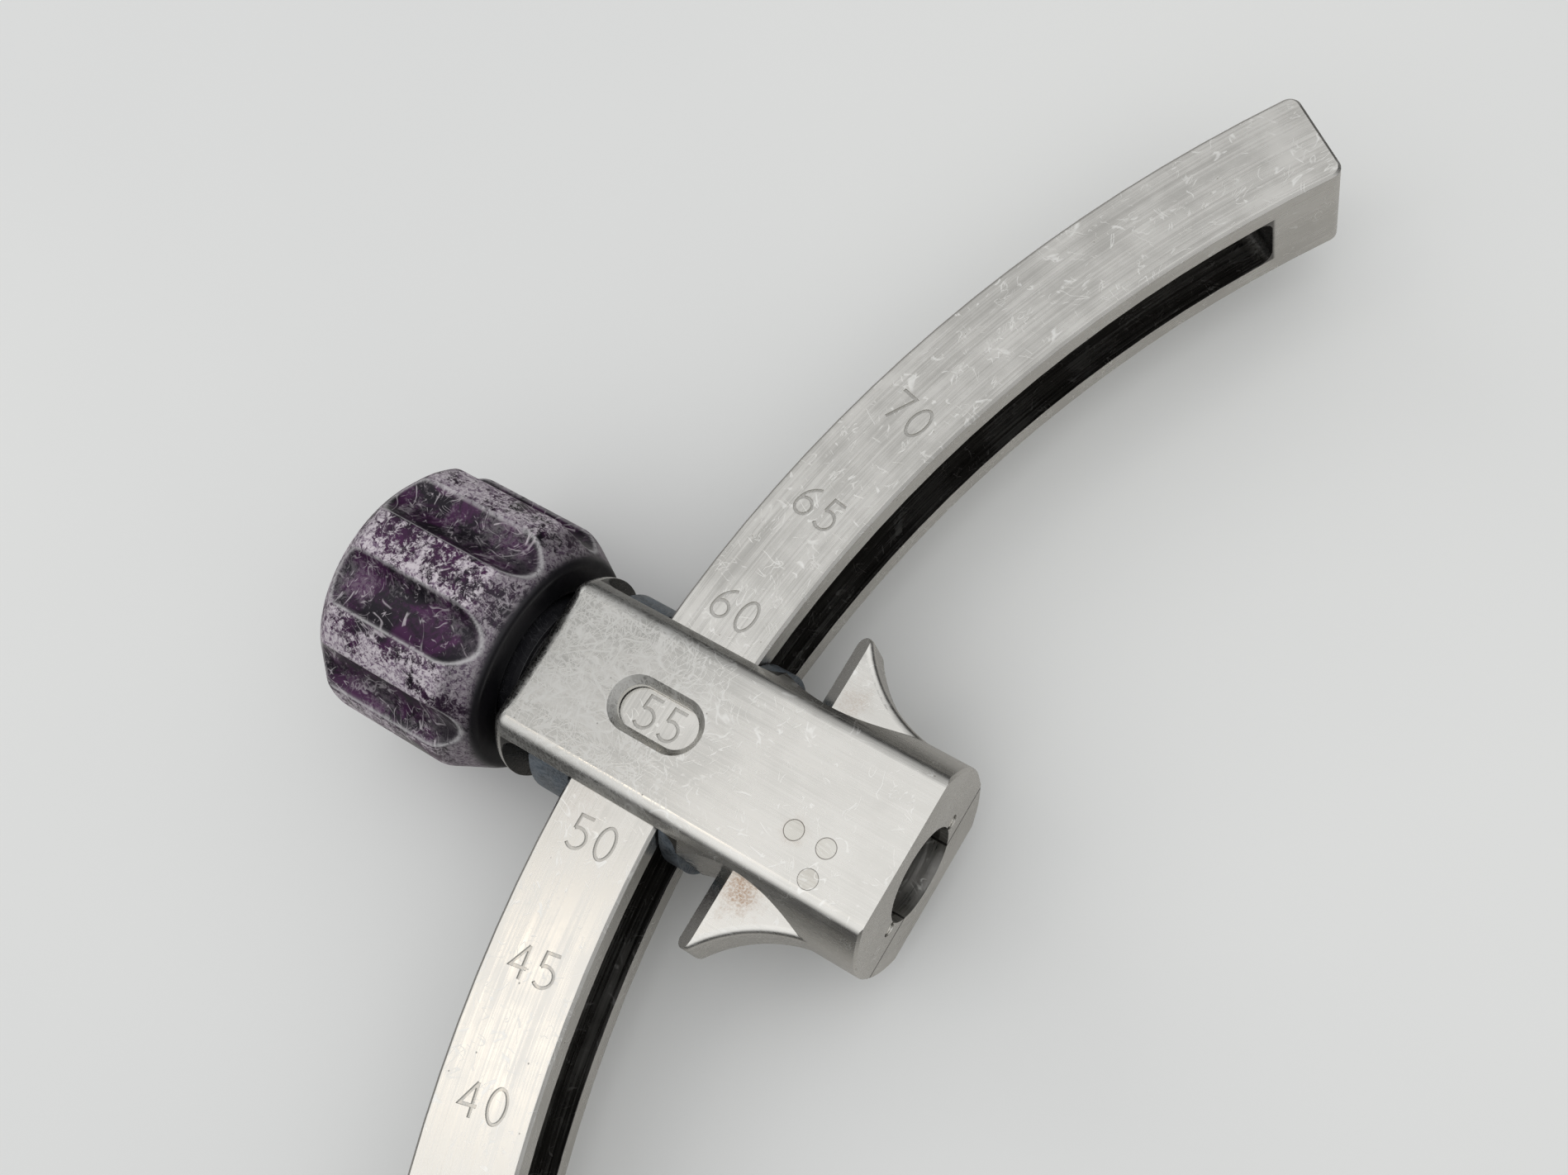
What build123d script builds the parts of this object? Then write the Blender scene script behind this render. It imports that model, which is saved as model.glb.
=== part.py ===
"""Arc goniometer: a slotted, numbered arc bar with a clamped carriage whose bore aims at the arc's centre.

Frame: the origin is the centre of the sleeve bore's mouth, +X runs out of the bore towards the arc's centre,
+Y runs towards the higher numbers and +Z out of the numbered face.  Angles on the arc are in degrees from the
carriage's rest place, positive towards +Y.  Lengths are in millimetres.
"""
from build123d import *
import math
import os

# ---------------------------------------------------------------- driving dimensions
# Arc bar
arc_radius = 142.0          # convex face
bar_width = 10.0            # convex face to concave face
bar_height = 12.0
flange = 2.4                # metal above and below the slot
free_end_angle = 35.6
slot_free_angle = 32.3
slot_arm_angle = -30.0
arm_end_angle = -40.6
bar_end_round = 1.2         # upright corners of both ends
bar_edge_break = 0.3
slot_corner = 1.6

# Scale
scale_first = 40
scale_last = 70
scale_step = 5
rest_reading = 55
angle_per_step = 5.2
digit_height = 3.1
digit_width = 1.7
digit_pitch = 2.75
engrave_width = 0.3
engrave_depth = 0.18

# Fits
slide_gap = 0.2             # carriage on the bar
running_gap = 0.05          # turning and sliding pieces
seat_gap = 0.02             # pieces fixed in their seats
seam_gap = 0.08             # lower cover to body

# Carriage body
body_radius = 10.7
nose_length = 22.0          # bore mouth to the bar's concave face
roof = 1.4                  # top flat to the bar's face
tail_wall = 1.5
tail_round = 1.5
mouth_break = 0.25
flat_round = 1.6            # along the flats' edges
sleeve_radius = 4.85
sleeve_stop = 2.0           # wall between the sleeve bore and the arc window
passage_radius = 2.7        # guide wire passage
window_corner = 1.8
readout_length = 8.6
readout_width = 4.2
readout_bevel = 0.75

# Finger wings
wing_thickness = 5.8
wing_span = 16.6            # carriage axis to a wing's tip
wing_tip_width = 1.61       # hollow front to back face at the tip, before rounding
wing_start = 2.7            # bore mouth to where a wing leaves the barrel
wing_sweep = 14.0           # radius of a wing's hollow front
wing_tip_round = 0.9
wing_edge_round = 0.8
wing_back_bevel = 1.6
scoop_radius = 15.7         # finger hollow behind each wing
scoop_depth_y = 8.5         # carriage axis to the bottom of a hollow
scoop_place = 13.4          # bore mouth to the middle of a hollow

# Lower cover
cover_length = 15.0
cover_screw_x = -11.5
cover_screw_y = 5.9
cover_screw_radius = 0.9
cover_screw_head = 1.25
cover_screw_head_height = 1.1
cover_screw_sink = 0.2
cover_screw_reach = 3.4     # thread length above the seam
driver_slot = 0.4
driver_depth = 0.5
dowel_x = -6.5
dowel_y = -5.95
dowel_radius = 0.95
dowel_floor = 1.8           # cover metal left under the dowel

# Bore keys
key_radius = 0.68
key_length = 4.5
key_drop = 0.3
key_sink = 0.15

# Detents that grip the sleeve
detent_places = {"front": -6.5, "back": -9.9}
detent_y = -2.85
ball_radius = 0.75
plug_radius = 0.95
spring_room = 0.7715        # seated ball to its plug
spring_wire = 0.1
spring_turns = 2.5

# Guide pad
pad_thickness = 2.4
boss_length = 5.0
pad_pin_radius = 0.75
pad_pin_y = 6.9
pad_pin_reach = 1.3         # into the pad and into the body

# Clamp: shoe, screw, bush and knob
shoe_thickness = 4.4
shoe_room = 3.2             # free window behind the shoe
shoe_inset = 0.2            # shoe and pad sides inside the barrel's surface
nose_radius = 4.0
nose_depth = 2.4
snap_groove = 0.6           # depth of the ring's grooves
snap_width = 0.6
snap_inset = 1.0            # ring from the shoe's back
washer_lip = 0.45           # washer beyond the screw
washer_thickness = 0.5
screw_radius = 5.15
bush_wall = 1.45            # spigot round the screw
bush_collar_step = 0.7      # collar beyond the spigot
bush_collar_length = 3.0
o_ring_wire = 0.55
o_ring_place = 0.9          # ring from the collar's outer end
knob_radius = 13.5
knob_length = 19.4
knob_gap = 1.2              # body to knob
knob_inner_rim = 11.2
knob_inner_taper = 3.9
knob_outer_rim = 11.6
knob_outer_taper = 1.9
knob_recess_gap = 0.6       # knob's recess round the bush's collar
knob_recess_depth = 3.6
knob_bore_radius = 4.6
flute_count = 8
flute_phase = 15.5          # first flute from +Z, turned towards -Y
flute_floor = 11.85         # knob axis to a flute's bottom
flute_radius = 4.0
lock_ring_radius = 8.0
lock_ring_thickness = 3.0
lock_ring_slot = 2.0
lock_ring_recess = 1.0      # ring below the knob's end
lock_slot_depth = 1.2

# Aimer arm socket and its lock
socket_angle = -36.2
socket_radius = 3.5
lock_screw_radius = 2.0
lock_pad_length = 2.0
lock_pad_inset = 0.3        # pad back from the socket's wall
lock_head_radius = 6.0
lock_head_length = 8.0
lock_head_gap = 2.6
lock_knurls = 16
lock_knurl_radius = 0.9
lock_head_break = 0.7

# ---------------------------------------------------------------- derived places
centre_x = arc_radius - bar_width - nose_length
concave_x = -nose_length
convex_x = concave_x - bar_width
mid_radius = arc_radius - bar_width / 2
half_height = bar_height / 2
slot_height = bar_height - 2 * flange
window_half = half_height + slide_gap
washer_radius = screw_radius + washer_lip
bush_spigot_radius = screw_radius + bush_wall
bush_collar_radius = bush_spigot_radius + bush_collar_step
knob_recess_radius = bush_collar_radius + knob_recess_gap
flat_height = window_half + roof
wing_half = wing_thickness / 2
pad_face_x = concave_x + slide_gap
window_front = pad_face_x + pad_thickness
shoe_face_x = convex_x - slide_gap
shoe_back_x = shoe_face_x - shoe_thickness
window_back = shoe_back_x - shoe_room
tail_x = window_back - tail_wall
sleeve_floor = window_front + sleeve_stop
washer_back_x = shoe_back_x - washer_thickness - 2 * running_gap
snap_x = shoe_back_x + snap_inset
knob_front = tail_x - knob_gap
knob_back = knob_front - knob_length
knob_seat = knob_front - knob_recess_depth
lock_ring_back = knob_back + lock_ring_recess
lock_ring_front = lock_ring_back + lock_ring_thickness
bush_back = tail_x - bush_collar_length
ball_z = math.sqrt((sleeve_radius + running_gap + ball_radius) ** 2 - detent_y**2)
plug_floor = ball_z + ball_radius + spring_room
key_y = sleeve_radius + running_gap + key_radius
clear = 2 * body_radius     # cutters run past the metal by this much


def arc_point(angle, radius):
    """Place in plan at an angle on the arc and a distance from the arc's centre."""
    turn = math.radians(angle)
    return (centre_x - radius * math.cos(turn), radius * math.sin(turn))


def arc_plane(angle, radius, height=0.0):
    """Plane on the arc: local X points at the arc's centre, local Y along the arc, local Z up."""
    turn = math.radians(angle)
    return Plane(
        origin=(*arc_point(angle, radius), height),
        x_dir=(math.cos(turn), -math.sin(turn), 0),
        z_dir=(0, 0, 1),
    )


def sector(inner, outer, start, end):
    """Piece of a flat ring about the arc's centre."""
    with BuildSketch() as flat:
        with BuildLine():
            CenterArc((centre_x, 0), outer, 180 - end, end - start)
            CenterArc((centre_x, 0), inner, 180 - end, end - start)
            Line(arc_point(start, inner), arc_point(start, outer))
            Line(arc_point(end, inner), arc_point(end, outer))
        make_face()
    return flat.sketch


def ring(front, back, outer, inner):
    """Plain ring about the carriage axis, from x = back to x = front."""
    with BuildPart() as plain:
        with BuildSketch(Plane.YZ.offset(back)):
            Circle(outer)
            Circle(inner, mode=Mode.SUBTRACT)
        extrude(amount=front - back)
    return plain.part


def rods(front, back, radius, places=((0, 0),)):
    """Round rods along the carriage axis, one at each (y, z) place."""
    with BuildPart() as plain:
        with BuildSketch(Plane.YZ.offset(back)):
            with Locations(*places):
                Circle(radius)
        extrude(amount=front - back)
    return plain.part


def pins(bottom, top, radius, *places):
    """Round upright pins, one at each (x, y) place."""
    with BuildPart() as plain:
        with BuildSketch(Plane.XY.offset(bottom)):
            with Locations(*places):
                Circle(radius)
        extrude(amount=top - bottom)
    return plain.part


def digit_strokes(digit):
    """Centre lines of one digit, about the middle of its cell."""
    w, h = digit_width / 2, digit_height / 2
    loop = (0, w - h)
    return {
        "0": [EllipticalCenterArc((0, 0), w, h, start_angle=a, arc_size=180) for a in (0, 180)],
        "4": [Polyline((w / 2, h), (-w, -h / 3), (w, -h / 3)), Line((w / 2, h), (w / 2, -h))],
        "5": [Polyline((w * 0.9, h), (-w * 0.7, h), (-w * 0.8, h / 8)),
              ThreePointArc((-w * 0.8, h / 8), (w, -h / 3), (-w, -h * 0.8))],
        "6": [CenterArc(loop, w, 0, 180), CenterArc(loop, w, 180, 180),
              ThreePointArc((w * 0.7, h), (-w * 0.5, h / 2), (-w, w - h))],
        "7": [Polyline((-w, h), (w, h), (-w / 4, -h))],
    }[digit]


def digit_sketch(digit):
    """One digit, its strokes traced at the engraving's width."""
    strokes = digit_strokes(digit)
    with BuildSketch() as figure:
        for stroke in strokes:
            with BuildLine():
                add(stroke)
            trace(line_width=engrave_width)
    return figure.sketch


# ---------------------------------------------------------------- arc bar
socket_plane = arc_plane(socket_angle, mid_radius)
end_plane = arc_plane(arm_end_angle, mid_radius)
lock_axis_plane = Plane(origin=end_plane.origin, x_dir=(0, 0, 1), z_dir=-end_plane.y_dir)
lock_depth = (arc_plane(arm_end_angle, mid_radius).origin - socket_plane.origin).length

readings = range(scale_first, scale_last + 1, scale_step)
figures = {digit: digit_sketch(digit) for reading in readings for digit in str(reading)}

with BuildPart() as slot_cutter:
    with BuildSketch(Plane.XY.offset(-slot_height / 2)):
        add(sector(arc_radius - bar_width - flange, arc_radius + flange, slot_arm_angle, slot_free_angle))
    extrude(amount=slot_height)
    slot_ends = [arc_plane(a, mid_radius) for a in (slot_arm_angle, slot_free_angle)]
    fillet(
        [e for e in slot_cutter.edges().filter_by(GeomType.LINE)
         if abs(e.tangent_at(0).Z) < 0.5 and any(abs(p.to_local_coords(e.center()).Y) < 0.01 for p in slot_ends)],
        radius=slot_corner,
    )

with BuildPart() as arc_bar:
    with BuildSketch(Plane.XY.offset(-half_height)) as bar_outline:
        add(sector(arc_radius - bar_width, arc_radius, arm_end_angle, free_end_angle))
        fillet(bar_outline.vertices(), radius=bar_end_round)
    extrude(amount=bar_height)
    chamfer(arc_bar.faces().sort_by(Axis.Z)[-1].edges() + arc_bar.faces().sort_by(Axis.Z)[0].edges(),
            length=bar_edge_break)
    add(slot_cutter.part, mode=Mode.SUBTRACT)
    with BuildSketch(Plane(origin=socket_plane.origin, x_dir=(0, 0, 1), z_dir=socket_plane.x_dir)):
        Circle(socket_radius)
    extrude(amount=bar_width, both=True, mode=Mode.SUBTRACT)
    with BuildSketch(lock_axis_plane):
        Circle(lock_screw_radius + running_gap)
    extrude(amount=-lock_depth, mode=Mode.SUBTRACT)
    for reading in readings:
        angle = (reading - rest_reading) / scale_step * angle_per_step
        for place, digit in enumerate(str(reading)):
            with BuildSketch(arc_plane(angle, mid_radius - (place - 0.5) * digit_pitch, half_height)):
                add(figures[digit])
            extrude(amount=-engrave_depth, mode=Mode.SUBTRACT)

# ---------------------------------------------------------------- barrel and wings of the carriage
with BuildPart() as barrel:
    with BuildSketch(Plane.XZ) as barrel_profile:
        with BuildLine():
            Polyline((0, 0), (0, body_radius), (tail_x, body_radius), (tail_x, 0), close=True)
        make_face()
        fillet(barrel_profile.vertices().group_by(Axis.Y)[-1].sort_by(Axis.X)[0], radius=tail_round)
        chamfer(barrel_profile.vertices().group_by(Axis.Y)[-1].sort_by(Axis.X)[-1], length=mouth_break)
    revolve(axis=Axis.X)
    with BuildSketch(Plane.YZ.offset(tail_x)):
        Rectangle(2 * clear, 2 * flat_height)
    extrude(amount=-tail_x, mode=Mode.INTERSECT)
    fillet(barrel.edges().filter_by(Axis.X), radius=flat_round)
    with BuildSketch(Plane.XY.offset(-clear)):
        with Locations(*((-scoop_place, side * (scoop_depth_y + scoop_radius)) for side in (1, -1))):
            Circle(scoop_radius)
    extrude(amount=2 * clear, mode=Mode.SUBTRACT)

wing_root_y = math.sqrt(body_radius**2 - wing_half**2)
sweep_centre = (-wing_start, wing_root_y + wing_sweep)
wing_tip_angle = math.degrees(math.asin((sweep_centre[1] - wing_span) / wing_sweep))
wing_back = wing_start + wing_sweep * math.cos(math.radians(wing_tip_angle)) + wing_tip_width

with BuildPart() as wing_plate:
    with BuildSketch(Plane.XY.offset(-wing_half)) as wing_outline:
        with BuildLine():
            sweep_arc = CenterArc(sweep_centre, wing_sweep, 180 + wing_tip_angle, 90 - wing_tip_angle)
            Polyline(sweep_arc @ 1, (0, wing_root_y), (0, 0), (-wing_back, 0), (-wing_back, wing_span),
                     sweep_arc @ 0)
        make_face()
        tips = [v for v in wing_outline.vertices() if v.Y > wing_span - wing_tip_round / 2]
        fillet(tips, radius=wing_tip_round)
        mirror(about=Plane.XZ)
    extrude(amount=wing_thickness)
    outer_edges = [e for e in wing_plate.edges()
                   if abs(abs(e.center().Z) - wing_half) < seat_gap and e.center().X < -seat_gap]
    fillet(outer_edges, radius=wing_edge_round)
    with BuildSketch(Plane.XZ) as back_bevels:
        with BuildLine():
            Polyline((-wing_back, wing_half - wing_back_bevel), (-wing_back + wing_back_bevel, wing_half),
                     (-wing_back, wing_half), close=True)
        make_face()
        mirror(about=Plane.XY)
    extrude(amount=clear, both=True, mode=Mode.SUBTRACT)

# ---------------------------------------------------------------- carriage body
with BuildPart() as cover_zone:
    with BuildSketch(Plane.XY.offset(-wing_half)):
        with Locations((-cover_length / 2, 0)):
            Rectangle(cover_length, 2 * clear)
    extrude(amount=-clear)

key_places = ((key_y, -key_drop), (-key_y, -key_drop))
pad_pin_places = ((pad_pin_y, 0), (-pad_pin_y, 0))
cover_screw_places = ((cover_screw_x, cover_screw_y), (cover_screw_x, -cover_screw_y))
cover_screw_top = cover_screw_reach - wing_half

with BuildPart() as carriage_body:
    add(barrel.part)
    add(wing_plate.part)
    add(cover_zone.part, mode=Mode.SUBTRACT)
    with BuildSketch(Plane.XZ):
        with Locations(((window_front + window_back) / 2, 0)):
            RectangleRounded(window_front - window_back, 2 * window_half, window_corner)
    extrude(amount=clear, both=True, mode=Mode.SUBTRACT)
    add(rods(clear, sleeve_floor, sleeve_radius), mode=Mode.SUBTRACT)
    add(rods(0, window_front - slide_gap, passage_radius), mode=Mode.SUBTRACT)
    add(rods(window_back + tail_wall, tail_x - tail_wall, bush_spigot_radius + seat_gap), mode=Mode.SUBTRACT)
    add(rods(shoe_back_x, window_back + window_corner, washer_radius + slide_gap), mode=Mode.SUBTRACT)
    with BuildSketch(Plane.XY.offset(window_half - slide_gap)):
        with Locations(((concave_x + convex_x) / 2, 0)):
            SlotOverall(readout_length, readout_width)
    extrude(amount=clear, mode=Mode.SUBTRACT)
    readout_rim = [
        e for e in carriage_body.edges()
        if abs(e.center().Z - flat_height) < seat_gap and abs(e.center().Y) < readout_width
        and abs(e.center().X - (concave_x + convex_x) / 2) < readout_length
    ]
    chamfer(readout_rim, length=readout_bevel)
    add(pins(-clear, clear, dowel_radius + seat_gap, (dowel_x, dowel_y)), mode=Mode.SUBTRACT)
    for x in detent_places.values():
        add(pins(0, clear, ball_radius + running_gap, (x, detent_y)), mode=Mode.SUBTRACT)
        add(pins(plug_floor, clear, plug_radius + seat_gap, (x, detent_y)), mode=Mode.SUBTRACT)
    add(pins(-clear, cover_screw_top, cover_screw_radius + seat_gap, *cover_screw_places), mode=Mode.SUBTRACT)
    add(rods(clear, -key_length, key_radius + 2 * running_gap, key_places), mode=Mode.SUBTRACT)
    add(rods(window_front + pad_pin_reach, window_front - slide_gap, pad_pin_radius + seat_gap, pad_pin_places),
        mode=Mode.SUBTRACT)

# ---------------------------------------------------------------- lower cover with its dowel and screws
screw_head_floor = -flat_height + cover_screw_sink + cover_screw_head_height
dowel_bottom = dowel_floor - flat_height

with BuildPart() as lower_cover:
    add(barrel.part)
    with BuildSketch(Plane.XY.offset(-wing_half - seam_gap)):
        with Locations((-(cover_length - seam_gap) / 2, 0)):
            Rectangle(cover_length - seam_gap, 2 * clear)
    extrude(amount=-clear, mode=Mode.INTERSECT)
    add(rods(clear, -clear, sleeve_radius), mode=Mode.SUBTRACT)
    add(pins(dowel_bottom, clear, dowel_radius + seat_gap, (dowel_x, dowel_y)), mode=Mode.SUBTRACT)
    add(pins(-clear, clear, cover_screw_radius + seat_gap, *cover_screw_places), mode=Mode.SUBTRACT)
    add(pins(-clear, screw_head_floor, cover_screw_head + seat_gap, *cover_screw_places), mode=Mode.SUBTRACT)

cover_dowel = pins(dowel_bottom + seat_gap, flat_height, dowel_radius, (dowel_x, dowel_y))

with BuildPart() as cover_screws:
    add(pins(screw_head_floor - seat_gap, cover_screw_top - seat_gap, cover_screw_radius, *cover_screw_places))
    add(pins(screw_head_floor - cover_screw_head_height, screw_head_floor - seat_gap, cover_screw_head,
             *cover_screw_places))
    with BuildSketch(Plane.XY.offset(screw_head_floor - cover_screw_head_height)):
        with Locations(*cover_screw_places):
            Rectangle(3 * cover_screw_head, driver_slot)
    extrude(amount=driver_depth, mode=Mode.SUBTRACT)

# ---------------------------------------------------------------- bore keys and sleeve detents
bore_keys = rods(-key_sink, -key_length + seat_gap, key_radius, key_places)

spring_radius = ball_radius - 2 * spring_wire
spring_bottom = ball_z + ball_radius + spring_wire + seat_gap
spring_height = plug_floor - spring_wire - seat_gap - spring_bottom
detents = {}
for name, x in detent_places.items():
    with BuildPart() as ball:
        with Locations((x, detent_y, ball_z)):
            Sphere(ball_radius)
    with BuildPart() as spring:
        with BuildLine() as coil:
            Helix(spring_height / spring_turns, spring_height, spring_radius, center=(x, detent_y, spring_bottom))
        with BuildSketch(Plane(origin=coil.line @ 0, z_dir=coil.line % 0)):
            Circle(spring_wire)
        sweep(is_frenet=True)
    detents[f"detent_ball_{name}"] = ball.part
    detents[f"detent_spring_{name}"] = spring.part
    detents[f"detent_plug_{name}"] = pins(plug_floor, flat_height, plug_radius, (x, detent_y))

# ---------------------------------------------------------------- guide pad on the concave side
boss_radius = slot_height / 2 - slide_gap

with BuildPart() as guide_pad:
    with BuildSketch(Plane.XY.offset(seat_gap - window_half)):
        with Locations((centre_x, 0)):
            Circle(arc_radius - bar_width - slide_gap)
        with Locations(((pad_face_x + window_front - seat_gap) / 2, 0)):
            Rectangle(pad_thickness - seat_gap, 2 * clear, mode=Mode.INTERSECT)
    extrude(amount=2 * (window_half - seat_gap))
    fillet(guide_pad.edges().filter_by(Axis.Y).group_by(Axis.X)[-1], radius=window_corner)
    with BuildSketch(Plane.YZ.offset(pad_face_x - boss_length)):
        Circle(boss_radius)
    extrude(amount=boss_length + pad_thickness / 2)
    with BuildSketch(Plane.YZ.offset(pad_face_x - boss_length)):
        Circle(body_radius - shoe_inset)
    extrude(amount=clear, mode=Mode.INTERSECT)
    add(rods(0, convex_x, passage_radius), mode=Mode.SUBTRACT)
    add(rods(0, window_front - pad_pin_reach, pad_pin_radius + seat_gap, pad_pin_places), mode=Mode.SUBTRACT)

pad_pins = rods(window_front + pad_pin_reach - seat_gap, window_front - pad_pin_reach + seat_gap,
                pad_pin_radius, pad_pin_places)

# ---------------------------------------------------------------- clamp shoe, washer and snap ring
snap_outer = nose_radius + snap_groove

with BuildPart() as clamp_shoe:
    with BuildSketch(Plane.XY.offset(running_gap - window_half)):
        with Locations((shoe_face_x, 0)):
            Rectangle(2 * shoe_thickness, 2 * clear)
        with Locations((centre_x, 0)):
            Circle(arc_radius + slide_gap, mode=Mode.SUBTRACT)
    extrude(amount=2 * (window_half - running_gap))
    with BuildSketch(Plane.YZ.offset(shoe_back_x)):
        Circle(body_radius - shoe_inset)
    extrude(amount=clear, mode=Mode.INTERSECT)
    add(rods(0, window_back, passage_radius), mode=Mode.SUBTRACT)
    add(rods(shoe_back_x + nose_depth + running_gap, window_back, nose_radius + running_gap), mode=Mode.SUBTRACT)
    add(rods(snap_x + snap_width + running_gap, snap_x - running_gap, snap_outer + seat_gap),
        mode=Mode.SUBTRACT)

thrust_washer = ring(shoe_back_x - running_gap, washer_back_x + running_gap, washer_radius,
                     nose_radius + running_gap)

with BuildPart() as shoe_snap_ring:
    add(ring(snap_x + snap_width, snap_x, snap_outer, nose_radius - snap_groove + running_gap))
    with BuildSketch(Plane.YZ.offset(snap_x)):
        with Locations((0, -nose_radius)):
            Rectangle(nose_radius / 2, nose_radius)
    extrude(amount=snap_width, mode=Mode.SUBTRACT)

# ---------------------------------------------------------------- hollow clamp screw
with BuildPart() as clamp_screw:
    add(ring(shoe_back_x + nose_depth, washer_back_x, nose_radius, passage_radius))
    add(ring(washer_back_x, knob_seat, screw_radius, passage_radius))
    add(ring(knob_seat, lock_ring_back, knob_bore_radius, passage_radius))
    add(ring(snap_x + snap_width + running_gap, snap_x - running_gap, nose_radius + 1,
             nose_radius - snap_groove), mode=Mode.SUBTRACT)

# ---------------------------------------------------------------- thread bush and its drag ring
bush_bore = screw_radius + running_gap
o_ring_x = bush_back + o_ring_place + o_ring_wire

with BuildPart() as thread_bush:
    add(ring(window_back, tail_x, bush_spigot_radius, bush_bore))
    add(ring(tail_x, bush_back, bush_collar_radius, bush_bore))
    chamfer(thread_bush.edges().group_by(Axis.X)[0].sort_by(SortBy.RADIUS)[-1], length=bar_edge_break)
    add(rods(o_ring_x + o_ring_wire + seat_gap, o_ring_x - o_ring_wire - seat_gap,
             bush_bore + 2 * o_ring_wire + seat_gap), mode=Mode.SUBTRACT)

with BuildPart() as bush_o_ring:
    with BuildSketch(Plane.XZ):
        with Locations((o_ring_x, bush_bore + o_ring_wire)):
            Circle(o_ring_wire)
    revolve(axis=Axis.X)

# ---------------------------------------------------------------- knob and lock ring
with BuildPart() as knob:
    with BuildSketch(Plane.XZ) as knob_profile:
        with BuildLine():
            Polyline(
                (knob_seat, knob_bore_radius + seat_gap), (knob_seat, knob_recess_radius),
                (knob_front, knob_recess_radius), (knob_front, knob_inner_rim),
                (knob_front - knob_inner_taper, knob_radius), (knob_back + knob_outer_taper, knob_radius),
                (knob_back, knob_outer_rim), (knob_back, lock_ring_radius + slide_gap),
                (lock_ring_front, lock_ring_radius + slide_gap),
                (lock_ring_front, knob_bore_radius + seat_gap), close=True,
            )
        make_face()
        rims = knob_profile.vertices().group_by(Axis.Y)
        fillet(rims[-1].sort_by(Axis.X)[-1], radius=knob_inner_taper)
        fillet(rims[-1].sort_by(Axis.X)[0], radius=knob_outer_taper)
    revolve(axis=Axis.X)
    flute_angles = [90 + flute_phase + 360 / flute_count * i for i in range(flute_count)]
    with BuildSketch(Plane.YZ.offset(knob_back - clear)):
        for angle in flute_angles:
            with PolarLocations(flute_floor + flute_radius, 1, start_angle=angle):
                Circle(flute_radius)
    extrude(amount=knob_length + 2 * clear, mode=Mode.SUBTRACT)

with BuildPart() as knob_lock_ring:
    add(ring(lock_ring_front, lock_ring_back, lock_ring_radius, knob_bore_radius + seat_gap))
    with BuildSketch(Plane.YZ.offset(lock_ring_back)):
        Rectangle(2 * clear, lock_ring_slot)
        Rectangle(lock_ring_slot, 2 * clear)
    extrude(amount=lock_slot_depth, mode=Mode.SUBTRACT)

# ---------------------------------------------------------------- aimer arm lock
lock_pad_front = -(lock_depth - socket_radius - lock_pad_inset)
lock_pad_back = lock_pad_front + lock_pad_length


def lock_plane(offset):
    """Plane square to the lock screw's axis, a distance out from the bar's end."""
    return lock_axis_plane.offset(offset)


with BuildPart() as arm_pressure_pad:
    with BuildSketch(lock_plane(lock_pad_front)):
        Circle(lock_screw_radius)
    extrude(amount=lock_pad_length)

with BuildPart() as arm_lock_screw:
    with BuildSketch(lock_plane(lock_pad_back + running_gap)):
        Circle(lock_screw_radius)
    extrude(amount=lock_head_gap - lock_pad_back - running_gap)
    with BuildSketch(lock_plane(lock_head_gap)):
        Circle(lock_head_radius)
    extrude(amount=lock_head_length)
    head_rims = [e for e in arm_lock_screw.edges().filter_by(GeomType.CIRCLE) if e.radius > lock_screw_radius]
    chamfer(head_rims, length=lock_head_break)
    with BuildSketch(lock_plane(lock_head_gap)):
        with PolarLocations(lock_head_radius, lock_knurls):
            Circle(lock_knurl_radius)
    extrude(amount=lock_head_length, mode=Mode.SUBTRACT)

# ---------------------------------------------------------------- write the pieces
pieces = {
    "arc_bar": arc_bar.part,
    "carriage_body": carriage_body.part,
    "lower_cover": lower_cover.part,
    "cover_dowel": cover_dowel,
    "cover_screws": cover_screws.part,
    "bore_keys": bore_keys,
    **detents,
    "guide_pad": guide_pad.part,
    "pad_pins": pad_pins,
    "clamp_shoe": clamp_shoe.part,
    "thrust_washer": thrust_washer,
    "shoe_snap_ring": shoe_snap_ring.part,
    "clamp_screw": clamp_screw.part,
    "thread_bush": thread_bush.part,
    "bush_o_ring": bush_o_ring.part,
    "knob": knob.part,
    "knob_lock_ring": knob_lock_ring.part,
    "arm_pressure_pad": arm_pressure_pad.part,
    "arm_lock_screw": arm_lock_screw.part,
}

os.makedirs("parts", exist_ok=True)
for name, piece in pieces.items():
    piece.label = name
    export_step(piece, f"parts/{name}.step")
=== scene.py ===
"""Looks of the arc goniometer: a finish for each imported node, and the pieces worked out here."""
import logging
import math
from dataclasses import dataclass, field
from enum import Enum

import bpy
import numpy as np
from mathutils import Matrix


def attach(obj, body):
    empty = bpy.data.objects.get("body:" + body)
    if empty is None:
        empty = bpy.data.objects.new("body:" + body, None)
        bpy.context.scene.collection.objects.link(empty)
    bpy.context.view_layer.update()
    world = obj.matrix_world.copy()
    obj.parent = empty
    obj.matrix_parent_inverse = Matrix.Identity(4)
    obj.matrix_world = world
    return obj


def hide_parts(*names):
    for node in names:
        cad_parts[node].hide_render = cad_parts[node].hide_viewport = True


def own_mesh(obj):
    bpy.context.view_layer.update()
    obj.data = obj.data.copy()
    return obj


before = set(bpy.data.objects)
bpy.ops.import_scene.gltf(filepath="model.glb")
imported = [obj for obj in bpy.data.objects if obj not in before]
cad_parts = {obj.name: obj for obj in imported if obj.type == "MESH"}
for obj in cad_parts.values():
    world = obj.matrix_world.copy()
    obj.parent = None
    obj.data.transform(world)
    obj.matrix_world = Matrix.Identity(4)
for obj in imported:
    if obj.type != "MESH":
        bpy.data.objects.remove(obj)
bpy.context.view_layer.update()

LOG = logging.getLogger("goniometer")
MM = 0.001
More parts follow.
